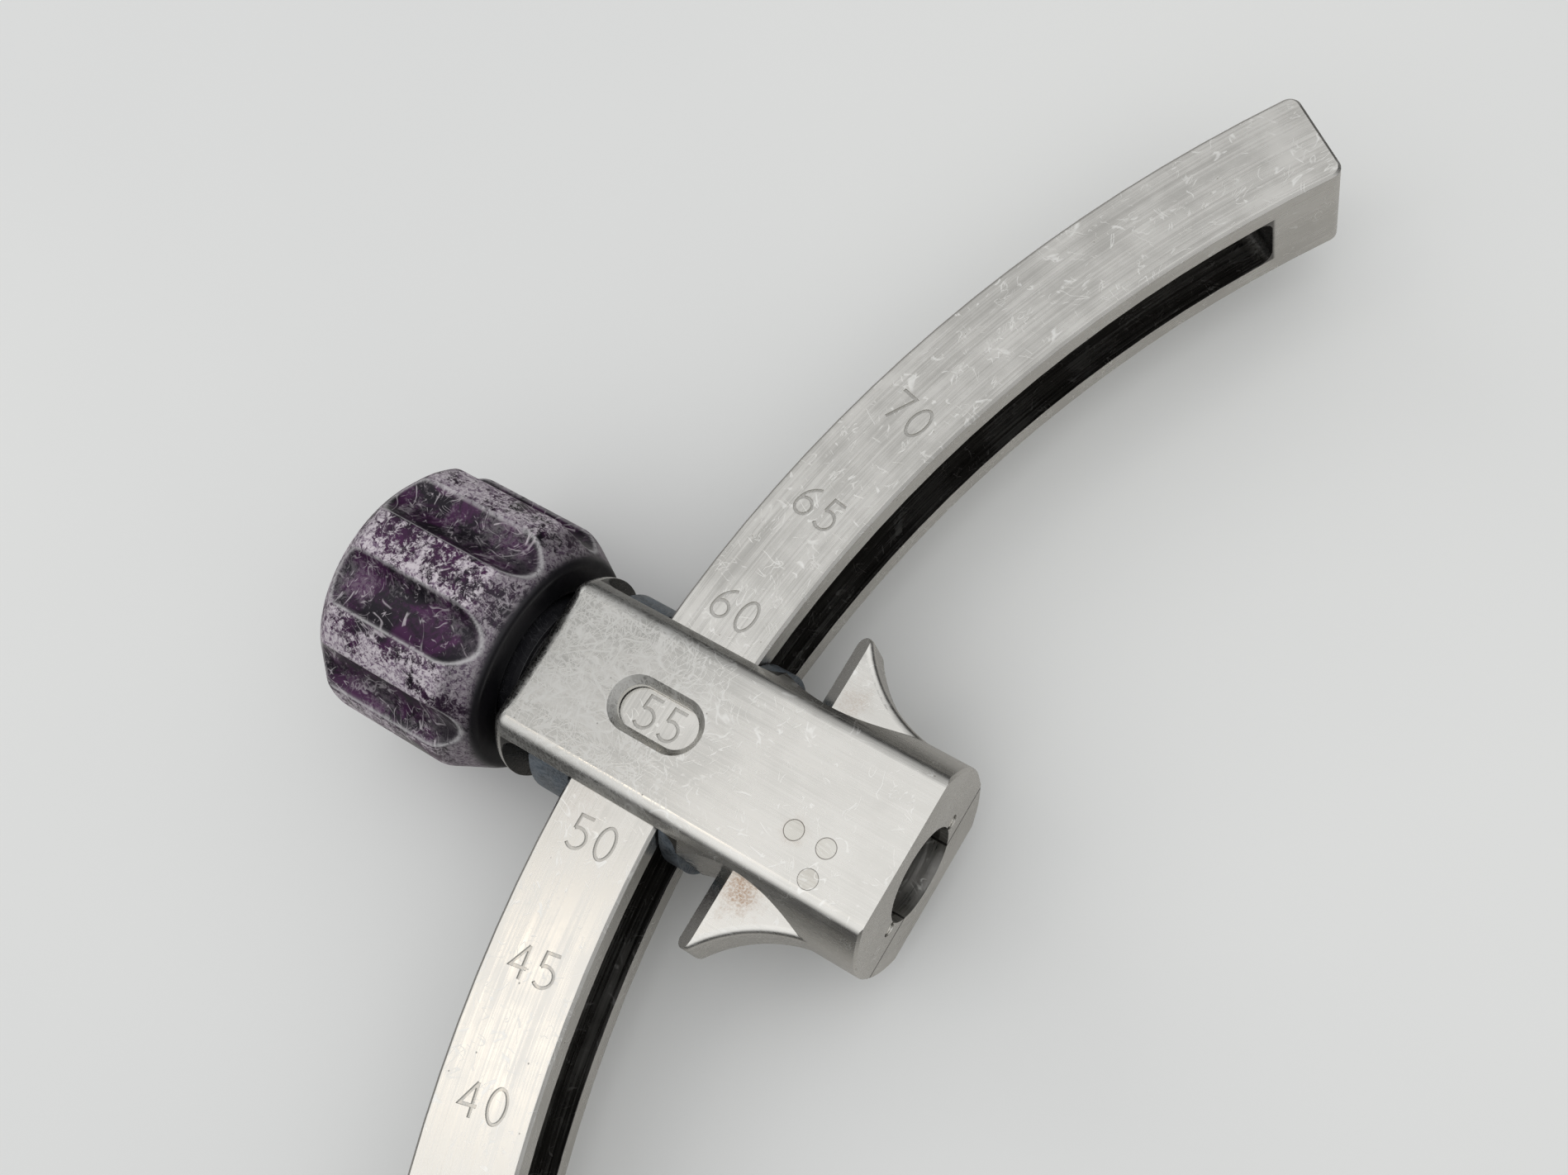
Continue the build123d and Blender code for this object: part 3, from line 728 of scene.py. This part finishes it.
@dataclass(frozen=True)
class DarkFinish(Finish):
    """Black polymer or rubber: turned rings, finger marks and dust in the low places."""

    groups: EffectGroups
    base: Colour = (0.012, 0.012, 0.014)
    roughness: float = 0.09
    ring_depth: float = 0.0015
    smeared: Colour = (0.035, 0.034, 0.037)
    marked: Colour = (0.11, 0.11, 0.12)

    def build(self) -> bpy.types.Material:
        """Make the material.

        Returns:
            The material.
        """
        material, wires, shader, place = self._begin()
        x, y, z = wires.split(place)
        rings = wires.noise(wires.join(wires.times(x, 6.0), wires.times(y, 0.2),
                                       wires.times(z, 0.2)), 1.0, 3.0, 0.6)
        smear = wires.noise(place, 0.7, 4.0, 0.7)
        marks = wires.group(self.groups.scratches, Place=place, Pitch=2.5, Width=0.03, Amount=0.5,
                            Bend=0.4).outputs[0]
        colour = wires.blend(wires.step(smear, 0.45, 0.75, 0.0, 0.5), self.base, self.smeared)
        colour = wires.tint(colour, marks, 0.15, self.marked)
        wires.feed(shader.inputs["Base Color"], colour)
        wires.feed(shader.inputs["Roughness"], wires.plus(wires.step(smear, 0.35, 0.7, self.roughness,
                                                                     self.roughness + 0.10),
                                                          wires.times(marks, 0.15)))
        self._relief(wires, shader, wires.minus(rings, wires.times(marks, 0.4)),
                     self.ring_depth, 0.1)
        return material


@dataclass(frozen=True)
class BenchFinish(Finish):
    """The pale table top: a smooth coating with a faint cloud of handling marks.

    Polished faces see it through painted shade: darker than its own coat close by and near black further off,
    as a table of ordinary size in a dim room would look.
    """

    pale: Colour = (0.80, 0.81, 0.80)
    shade: Colour = (0.76, 0.77, 0.765)
    # painted shade of the table as seen in reflections, near and far
    near_mirror_painted_shade: Colour = (0.52, 0.51, 0.49)
    far_mirror_painted_shade: Colour = (0.05, 0.05, 0.05)

    def build(self) -> bpy.types.Material:
        """Make the material.

        Returns:
            The material.
        """
        material, wires, shader, place = self._begin()
        cloud = wires.noise(place, 0.006, 3.0, 0.5)
        coat = wires.blend(wires.step(cloud, 0.3, 0.7), self.pale, self.shade)
        # Painted shade in reflections: glossy rays see the table darker, more so the longer the ray
        path = wires.node("ShaderNodeLightPath")
        mirrored_painted_shade = wires.blend(wires.step(path.outputs["Ray Length"], 0.02, 0.09), self.near_mirror_painted_shade,
                               self.far_mirror_painted_shade)
        wires.feed(shader.inputs["Base Color"], wires.blend(path.outputs["Is Glossy Ray"], coat, mirrored_painted_shade))
        wires.feed(shader.inputs["Roughness"], wires.step(wires.noise(place, 0.03, 3.0), 0.3, 0.7, 0.48, 0.6))
        self._relief(wires, shader, wires.noise(place, 1.2, 3.0), 0.004)
        return material


# ---------------------------------------------------------------- surfaces
def rounded_path(corners: np.ndarray, radii: np.ndarray, closed: bool, arc_points: int = 9) -> np.ndarray:
    """Points along straight runs whose corners are replaced by circular arcs.

    Each corner with directions u (in) and v (out) and turn angle t gets an arc of radius r whose ends lie
    r tan(t/2) back along both runs; the arc is centre + r (cos a, sin a) for a from one end to the other.

    Args:
        corners: corner places, one row each.
        radii: radius at each corner, 0 for a sharp one.
        closed: whether the last corner joins the first.
        arc_points: points on each arc.

    Returns:
        The path's points, one row each.
    """
    before, after = np.roll(corners, 1, axis=0), np.roll(corners, -1, axis=0)
    parts = []
    for index, (corner, radius) in enumerate(zip(corners, radii)):
        if radius == 0.0 or (not closed and index in (0, len(corners) - 1)):
            parts.append(corner[None])
            continue
        into = (corner - before[index]) / np.linalg.norm(corner - before[index])
        out = (after[index] - corner) / np.linalg.norm(after[index] - corner)
        turn = math.atan2(into[0] * out[1] - into[1] * out[0], float(into @ out))
        start = corner - into * radius * math.tan(abs(turn) / 2)
        side = math.copysign(1.0, turn)
        centre = start + side * radius * np.array([-into[1], into[0]])
        spread = math.atan2(*(start - centre)[::-1]) + np.linspace(0.0, turn, arc_points)
        parts.append(centre + radius * np.stack([np.cos(spread), np.sin(spread)], axis=1))
    return np.concatenate(parts)


def even_path(points: np.ndarray, count: int, closed: bool) -> np.ndarray:
    """Points spaced evenly along a path, by straight interpolation against its running length.

    Args:
        points: the path's points.
        count: how many points to return.
        closed: whether the path returns to its start.

    Returns:
        The evenly spaced points.
    """
    line = np.concatenate([points, points[:1]]) if closed else points
    length = np.concatenate([[0.0], np.cumsum(np.linalg.norm(np.diff(line, axis=0), axis=1))])
    at = np.linspace(0.0, length[-1], count, endpoint=not closed)
    return np.stack([np.interp(at, length, line[:, axis]) for axis in range(2)], axis=1)


def lathe_faces(rows: int, columns: int, loop: bool) -> np.ndarray:
    """Quads between neighbouring rings of a lathed grid, wrapped round the turn and, for a loop, along the
    path.

    Args:
        rows: rings along the path.
        columns: points on each ring.
        loop: whether the last ring joins the first.

    Returns:
        Vertex numbers of each quad.
    """
    row, column = np.meshgrid(np.arange(rows if loop else rows - 1), np.arange(columns), indexing="ij")
    next_row, next_column = (row + 1) % rows, (column + 1) % columns
    quads = np.stack([row * columns + column, next_row * columns + column,
                      next_row * columns + next_column, row * columns + next_column], axis=-1)
    return quads.reshape(-1, 4)


def surface_object(name: str, points: np.ndarray, faces: list, material: bpy.types.Material,
                   values: dict[str, np.ndarray] | None = None) -> bpy.types.Object:
    """Put a worked-out surface into a smooth-shaded object at the origin.

    Args:
        name: the piece's name.
        points: vertex places in metres.
        faces: vertex numbers of each face.
        material: its finish.
        values: named numbers for each vertex that the finish reads.

    Returns:
        The object.
    """
    mesh = bpy.data.meshes.new(name)
    mesh.from_pydata(points.tolist(), [], faces)
    mesh.validate()
    for label, numbers in (values or {}).items():
        mesh.attributes.new(label, "FLOAT", "POINT").data.foreach_set("value",
                                                                      numbers.astype(np.float32).ravel())
    mesh.polygons.foreach_set("use_smooth", np.ones(len(mesh.polygons), dtype=bool))
    mesh.materials.append(material)
    mesh.update()
    piece = bpy.data.objects.new(name, mesh)
    bpy.context.scene.collection.objects.link(piece)
    return piece


def soft_least(first: np.ndarray, second: np.ndarray, blend: float) -> np.ndarray:
    """The smaller of two surfaces with a rounded join: mix by h less k h (1 - h), h = 1/2 + (second - first)
    / 2k.

    Args:
        first: one surface's height.
        second: the other's.
        blend: width k of the rounding.

    Returns:
        The joined height.
    """
    share = np.clip(0.5 + 0.5 * (second - first) / blend, 0.0, 1.0)
    return second + (first - second) * share - blend * share * (1.0 - share)


@dataclass
class Assembly:
    """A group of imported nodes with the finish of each."""

    finishes: dict[str, bpy.types.Material] = field(default_factory=dict)

    def dress(self) -> None:
        """Give every node its finish and report it."""
        for node, material in self.finishes.items():
            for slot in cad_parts[node].material_slots:
                slot.material = material
            LOG.info("%s wears %s", node, material.name)


@dataclass
class ArcBar(Assembly):
    """The slotted, numbered bar."""


@dataclass
class Carriage(Assembly):
    """Body, lower cover, pins, keys, detents and guide pad."""


@dataclass
class ClampKnob(Assembly):
    """Shoe, screw, bush and the fluted knob, whose skin is worked out here. Sizes are in millimetres."""

    skin: bpy.types.Material | None = None
    front: float = -42.5
    length: float = 19.4
    radius: float = 13.5
    inner_rim: float = 11.2
    inner_taper: float = 3.9
    outer_rim: float = 11.6
    outer_taper: float = 1.9
    recess_radius: float = 7.9
    recess_depth: float = 3.6
    bore: float = 4.62
    ring_seat: float = 8.2
    ring_depth: float = 4.0
    flutes: int = 8
    flute_phase: float = 15.5
    flute_floor: float = 11.85
    flute_radius: float = 4.0
    edge_blend: float = 0.3
    rings: int = 176
    turns: int = 528
    dents: int = 90
    seed: int = 20

    def _profile(self) -> np.ndarray:
        """The knob's half section with rounded corners.

        Returns:
            A closed, evenly spaced loop of (x, r) rows.
        """
        back = self.front - self.length
        corners = np.array([
            (self.front - self.recess_depth, self.bore), (self.front - self.recess_depth, self.recess_radius),
            (self.front, self.recess_radius), (self.front, self.inner_rim),
            (self.front - self.inner_taper, self.radius), (back + self.outer_taper, self.radius),
            (back, self.outer_rim), (back, self.ring_seat), (back + self.ring_depth, self.ring_seat),
            (back + self.ring_depth, self.bore)])
        radii = np.array([0.0, 0.15, 0.3, 0.5, 3.6, 1.8, 0.35, 0.3, 0.15, 0.0])
        return even_path(rounded_path(corners, radii, closed=True), self.rings, closed=True)

    def _flute(self, angle: np.ndarray) -> np.ndarray:
        """Distance from the axis to the nearest flute's round wall.

        The wall is a circle of radius q centred D from the axis: at an angle f off its middle the near side
        is
        D cos f - sqrt(q^2 - D^2 sin^2 f), and beyond the circle's reach the distance grows.

        Args:
            angle: angle about the axis, from +Y towards +Z.

        Returns:
            The wall's distance at each angle.
        """
        pitch = 2 * math.pi / self.flutes
        off = (angle - math.radians(90 + self.flute_phase) + pitch / 2) % pitch - pitch / 2
        centre = self.flute_floor + self.flute_radius
        inside = self.flute_radius**2 - (centre * np.sin(off)) ** 2
        wall = centre * np.cos(off) - np.sqrt(np.clip(inside, 0.0, None))
        return np.where(inside > 0.0, wall, wall + 6.0 * np.sqrt(np.clip(-inside, 0.0, None)))

    def _wear(self, x: np.ndarray, angle: np.ndarray) -> np.ndarray:
        """Depth of the knocks: the sum of small Gaussian hollows, each drawn out in its own direction.

        Args:
            x: place along the axis.
            angle: angle about the axis.

        Returns:
            The depth at each place and angle.
        """
        chance = np.random.default_rng(self.seed)
        depth = np.zeros(np.broadcast(x, angle).shape)
        for _ in range(self.dents):
            place_x = self.front - chance.uniform(1.5, self.length - 1.0)
            place_a = chance.uniform(0.0, 2 * math.pi)
            long, short = chance.uniform(0.25, 0.9), chance.uniform(0.12, 0.28)
            turn = chance.uniform(0.0, math.pi)
            across = ((angle - place_a + math.pi) % (2 * math.pi) - math.pi) * self.radius
            u = (x - place_x) * math.cos(turn) + across * math.sin(turn)
            v = across * math.cos(turn) - (x - place_x) * math.sin(turn)
            depth += chance.uniform(0.02, 0.07) * np.exp(-(u / long) ** 2 - (v / short) ** 2)
        return depth

    def build_skin(self) -> bpy.types.Object:
        """The knob's surface: each section point turned round the axis, its radius cut back to the flutes'
        walls.

        Returns:
            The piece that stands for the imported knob.
        """
        section = self._profile()
        angle = np.linspace(0.0, 2 * math.pi, self.turns, endpoint=False)[None, :]
        x, full = section[:, :1], section[:, 1:]
        flute = self._flute(angle)
        outer = full > self.ring_seat + 1.0
        radius = np.where(outer, soft_least(full, flute, self.edge_blend), full)
        radius = radius - np.where(outer, self._wear(x, angle), 0.0)
        points = np.stack([np.broadcast_to(x, radius.shape), radius * np.cos(angle), radius * np.sin(angle)],
                          axis=-1)
        gap = flute - full
        values = {
            "ridge": np.clip(0.5 + gap / 0.8, 0.0, 1.0),
            "rim": np.exp(-((gap + 0.10) / 0.17) ** 2) * outer,
            # Shares of painted shade: the inner taper, and the inner face with the recess behind it
            "painted_shade_taper": np.clip((x - (self.front - self.inner_taper)) / 0.8, 0.0, 1.0) * np.ones_like(radius),
            "painted_shade_face": np.clip((x - (self.front - 1.2)) / 0.9, 0.0, 1.0) * np.ones_like(radius) + (full < 9.0),
        }
        piece = surface_object("knob_skin", points.reshape(-1, 3) * MM,
                               lathe_faces(self.rings, self.turns, loop=True).tolist(), self.skin, values)
        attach(piece, "knob")
        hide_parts("knob")
        LOG.info("knob_skin wears %s", self.skin.name)
        return piece


@dataclass
class ArmLock(Assembly):
    """The aimer arm's lock: pressure pad and a thumb screw, worked out here. Sizes are in millimetres."""

    steel: bpy.types.Material | None = None
    end_angle: float = -40.6
    mid_radius: float = BAR_MID_RADIUS
    shank_radius: float = 2.0
    shank_start: float = -6.4
    thread_pitch: float = 0.7
    thread_depth: float = 0.38
    head_radius: float = 6.0
    head_length: float = 8.0
    head_gap: float = 2.6
    head_break: float = 0.7
    knurls: int = 44
    knurl_depth: float = 0.3
    columns: int = 352

    def _place(self, along: np.ndarray, radius: np.ndarray, angle: np.ndarray) -> np.ndarray:
        """Points about the screw's axis: origin + along a + r cos t side + r sin t up.

        Args:
            along: distance along the screw's axis.
            radius: distance from it.
            angle: angle about it.

        Returns:
            The points, in millimetres.
        """
        turn = math.radians(self.end_angle)
        origin = np.array([ARC_CENTRE_X - self.mid_radius * math.cos(turn), self.mid_radius * math.sin(turn),
                           0.0])
        axis = np.array([-math.sin(turn), -math.cos(turn), 0.0])
        side = np.array([math.cos(turn), -math.sin(turn), 0.0])
        up = np.array([0.0, 0.0, 1.0])
        return (origin + along[..., None] * axis + (radius * np.cos(angle))[..., None] * side
                + (radius * np.sin(angle))[..., None] * up)

    def _knurl(self, along: np.ndarray, angle: np.ndarray) -> np.ndarray:
        """Depth of crossed knurling: the shallower of two slanted triangle waves, one each way round.

        Args:
            along: distance along the screw's axis.
            angle: angle about it.

        Returns:
            The depth at each point.
        """
        lean = (along - self.head_gap) * self.knurls / self.head_radius
        waves = [np.abs((((self.knurls * angle + sign * lean) / (2 * math.pi)) % 1.0) - 0.5) * 2
                 for sign in (1, -1)]
        return self.knurl_depth * np.maximum(*waves)

    def _thread(self, along: np.ndarray, angle: np.ndarray) -> np.ndarray:
        """Depth of the thread: a triangle wave that climbs one pitch each turn.

        Args:
            along: distance along the screw's axis.
            angle: angle about it.

        Returns:
            The depth at each point.
        """
        climb = (along / self.thread_pitch - angle / (2 * math.pi)) % 1.0
        return self.thread_depth * np.abs(climb - 0.5) * 2

    def build_screw(self) -> bpy.types.Object:
        """The thumb screw: a section turned round its axis, less the thread's and the knurling's depth.

        Returns:
            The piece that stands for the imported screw.
        """
        top = self.head_gap + self.head_length
        corners = np.array([
            (self.shank_start, 0.02), (self.shank_start, self.shank_radius),
            (self.head_gap, self.shank_radius),
            (self.head_gap, self.head_radius), (top, self.head_radius), (top, 3.4), (top - 0.5, 3.0),
            (top - 0.5, 0.02)])
        path = even_path(rounded_path(corners, np.array([0.0, 0.4, 0.2, self.head_break, self.head_break,
                                                         0.25,
                                                         0.3, 0.0]), closed=False), 230, closed=False)
        angle = np.linspace(0.0, 2 * math.pi, self.columns, endpoint=False)[None, :]
        along, full = path[:, :1], path[:, 1:]
        on_head = np.clip((full - 5.2) / 0.6, 0.0, 1.0) * (along > self.head_gap)
        on_shank = np.clip((full - 1.6) / 0.3, 0.0, 1.0) * (along < self.head_gap - 0.5) * (full < 2.1)
        radius = full - on_head * self._knurl(along, angle) - on_shank * self._thread(along, angle)
        points = self._place(np.broadcast_to(along, radius.shape), radius,
                             np.broadcast_to(angle, radius.shape))
        rows = len(path)
        faces = lathe_faces(rows, self.columns, loop=False)[:, ::-1].tolist()
        first = list(range(self.columns))
        last = list(range((rows - 1) * self.columns, rows * self.columns))
        piece = surface_object("arm_thumb_screw", points.reshape(-1, 3) * MM, [*faces, first, last[::-1]],
                               self.steel)
        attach(piece, "arm_screw")
        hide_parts("arm_lock_screw")
        LOG.info("arm_thumb_screw wears %s", self.steel.name)
        return piece


@dataclass
class DetentSpring:
    """One detent's coil spring. Sizes are in millimetres."""

    name: str
    x: float
    steel: bpy.types.Material
    y: float = -2.85
    coil_radius: float = 0.55
    wire_radius: float = 0.1
    bottom: float = 5.75
    top: float = 6.28
    turns: float = 2.5
    seat: float = 6.4
    travel: float = 0.3
    steps: int = 200
    sides: int = 16

    def build(self) -> bpy.types.Object:
        """The spring: a round wire swept along a helix, c(t) = R (cos t, sin t) + rise t, closed by its end
        discs.

        Each ring is c(t) + r (cos s n + sin s b), with n pointing out from the helix's axis and b along the
        axis's side of the wire, so that neighbouring rings join in quads.

        Returns:
            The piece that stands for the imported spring.
        """
        turn = np.linspace(0.0, 2 * math.pi * self.turns, self.steps)[:, None]
        low, high = self.bottom, self.top
        side = np.linspace(0.0, 2 * math.pi, self.sides, endpoint=False)[None, :]
        reach = self.coil_radius + self.wire_radius * np.cos(side)
        height = low + (high - low) * turn / turn[-1] + self.wire_radius * np.sin(side)
        points = np.stack([self.x + reach * np.cos(turn), self.y + reach * np.sin(turn), height], axis=-1)
        faces = lathe_faces(self.steps, self.sides, loop=False)[:, ::-1].tolist()
        ends = [list(range(self.sides)), list(range((self.steps - 1) * self.sides,
                                                    self.steps * self.sides))[::-1]]
        piece = surface_object(f"coil_{self.name}", points.reshape(-1, 3) * MM, [*faces, *ends], self.steel)
        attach(piece, "carriage")
        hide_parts(f"detent_spring_{self.name}")
        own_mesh(piece)
        LOG.info("coil_%s wears %s", self.name, self.steel.name)
        return piece


@dataclass
class Softbox:
    """One area light, aimed at a point. Places and sizes are in metres."""

    name: str
    place: Point
    aim: Point
    size: float
    power: float
    colour: Colour = (1.0, 1.0, 1.0)

    def hang(self) -> None:
        """Make the light."""
        lamp = bpy.data.lights.new(self.name, "AREA")
        lamp.shape = "DISK"
        lamp.size, lamp.energy, lamp.color = self.size, self.power, self.colour
        light = bpy.data.objects.new(self.name, lamp)
        light.location = self.place
        direction = np.array(self.aim) - np.array(self.place)
        direction = direction / np.linalg.norm(direction)
        light.rotation_euler = (math.acos(-direction[2]), 0.0,
                                math.atan2(direction[1], direction[0]) - math.pi / 2)
        bpy.context.scene.collection.objects.link(light)


@dataclass
class Studio:
    """Floor, lights, surroundings and camera. Lengths are in metres and angles in degrees."""

    floor_height: float = -0.0136
    floor_reach: float = 3.0
    camera_place: Point = (0.042342, -0.017637, 0.167379)
    camera_turn: Point = (21.057, 13.135, 32.109)
    lens: float = 43.809
    lights: tuple[Softbox, ...] = (
        Softbox("key_light", (-0.78, 0.20, 0.42), (0.0, 0.0, 0.0), 0.6, 0.7),
        Softbox("warm_lamp", (-0.2545, -0.0687, 0.558), (-0.0247, -0.0247, 0.0), 0.08, 0.03,
                (1.0, 0.84, 0.66)),
    )

    def lay_floor(self, finish: bpy.types.Material) -> None:
        """A large flat table top just under the lowest piece."""
        reach, height = self.floor_reach, self.floor_height
        corners = np.array([(-reach, -reach, height), (reach, -reach, height), (reach, reach, height),
                            (-reach, reach, height)])
        surface_object("table_top", corners, [[0, 1, 2, 3]], finish)

    def light(self) -> None:
        """Soft lights, and surroundings that are bright overhead and darker towards the horizon."""
        for lamp in self.lights:
            lamp.hang()
        world = bpy.data.worlds.new("surroundings")
        bpy.context.scene.world = world
        world.use_nodes = True
        wires = Wiring(world.node_tree)
        back = next(n for n in world.node_tree.nodes if n.type == "BACKGROUND")
        side, deep, height = wires.split(wires.node("ShaderNodeTexCoord").outputs["Generated"])
        lean = wires.minus(wires.times(deep, 0.7), side)
        sky = wires.times(wires.step(height, 0.06, 0.80, 0.05, 1.20), wires.step(lean, 0.39, 0.52, 1.0, 0.5))
        seen = wires.node("ShaderNodeLightPath").outputs["Is Camera Ray"]
        wires.feed(back.inputs["Color"], wires.blend(seen, sky, (0.62, 0.63, 0.62)))

    def frame_view(self) -> None:
        """The camera, and plain colour handling."""
        lens = bpy.data.cameras.new("camera")
        lens.lens, lens.sensor_width = self.lens, 36.0
        lens.clip_start, lens.clip_end = 0.005, 20.0
        camera = bpy.data.objects.new("camera", lens)
        camera.location = self.camera_place
        camera.rotation_euler = [math.radians(angle) for angle in self.camera_turn]
        bpy.context.scene.collection.objects.link(camera)
        bpy.context.scene.camera = camera
        bpy.context.scene.view_settings.view_transform = "Standard"


def main() -> None:
    """Build and dress every assembly, then the stage."""
    logging.basicConfig(level=logging.INFO, format="%(name)s: %(message)s")
    groups = EffectGroups()
    wing_stains = (Stain((-12.8, -9.6, 2.9), 3.0, 0.85), Stain((-12.8, 10.6, 2.9), 2.6, 0.3),
                   Stain((-9.9, -2.85, 7.6), 1.7, 0.32),
                   Stain((-30.0, 2.0, 7.6), 6.0, 0.10, (0.42, 0.40, 0.36)))
    bar_steel = SteelFinish("bar_steel", groups, Grain.ALONG_ARC, brush_pitch=4.5, brush_run=0.08,
                            slot_half=3.6, engraved_face=6.0,
                            stains=(Stain((-29.5, -9.5, 6.0), 4.0, 0.12),)).build()
    joints = (Ring((-6.5, -2.85), 0.5), Ring((-9.9, -2.85), 0.6), Ring((-6.5, -5.95), 0.22))
    # Boxes inside the carriage body that get painted shade: the clamp window and the bore
    painted_shade_insides = (PaintedShadeBox((-39.9, -12.0, -6.15), (-19.3, 12.0, 6.15), 0.85),
               PaintedShadeBox((-17.5, -4.6, -4.6), (-0.9, 4.6, 4.6), 0.6))
    body_steel = SteelFinish("body_steel", groups, Grain.ALONG_AXIS, stains=wing_stains, worn_from=-24.0,
                             scratch_amount=0.6, rings=joints, hollows=painted_shade_insides, seam_height=-2.9).build()
    cover_steel = SteelFinish("cover_steel", groups, Grain.TURNED, roughness=0.30, seam_height=-2.95).build()
    pin_steel = SteelFinish("pin_steel", groups, Grain.NONE, light=(0.66, 0.65, 0.61), dark=(0.5, 0.48, 0.44),
                            roughness=0.24, rings=joints).build()
    wire_steel = SteelFinish("wire_steel", groups, Grain.NONE, light=(0.5, 0.5, 0.5), dark=(0.35, 0.35, 0.35),
                             corner=0.02).build()
    turned_steel = SteelFinish("turned_steel", groups, Grain.TURNED, roughness=0.22, brush_run=0.02).build()
    lock_steel = SteelFinish("lock_steel", groups, Grain.ROUND_LOCK, roughness=0.25, corner=0.06).build()
    bronze = SteelFinish("bronze", groups, Grain.TURNED, light=(0.60, 0.42, 0.22),
                         dark=(0.42, 0.28, 0.14)).build()
    brass = SteelFinish("brass", groups, Grain.ROUND_LOCK, light=(0.78, 0.60, 0.28),
                        dark=(0.60, 0.44, 0.2)).build()
    blue_grey = AnodisedFinish("blue_grey_anodised", groups).build()
    gloss_black = DarkFinish("gloss_black", groups).build()
    black_rubber = DarkFinish("black_rubber", groups, (0.018, 0.018, 0.018), 0.55, 0.004).build()
    purple = KnobFinish("purple_anodised", groups).build()

    ArcBar({"arc_bar": bar_steel}).dress()
    Carriage({
        "carriage_body": body_steel, "lower_cover": cover_steel, "cover_dowel": pin_steel,
        "cover_screws": pin_steel, "bore_keys": pin_steel, "detent_ball_front": pin_steel,
        "detent_ball_back": pin_steel, "detent_spring_front": wire_steel, "detent_spring_back": wire_steel,
        "detent_plug_front": pin_steel, "detent_plug_back": pin_steel, "guide_pad": blue_grey,
        "pad_pins": pin_steel, "thread_bush": gloss_black, "bush_o_ring": black_rubber}).dress()
    for name, place in (("front", -6.5), ("back", -9.9)):
        DetentSpring(name, place, wire_steel).build()
    clamp = ClampKnob({
        "clamp_shoe": blue_grey, "thrust_washer": bronze, "shoe_snap_ring": wire_steel,
        "clamp_screw": turned_steel, "knob": purple, "knob_lock_ring": turned_steel}, skin=purple)
    clamp.dress()
    clamp.build_skin()
    lock = ArmLock({"arm_pressure_pad": brass, "arm_lock_screw": lock_steel}, steel=lock_steel)
    lock.dress()
    lock.build_screw()

    studio = Studio()
    studio.lay_floor(BenchFinish("table_coating").build())
    studio.light()
    studio.frame_view()


if __name__ == "__main__":
    main()
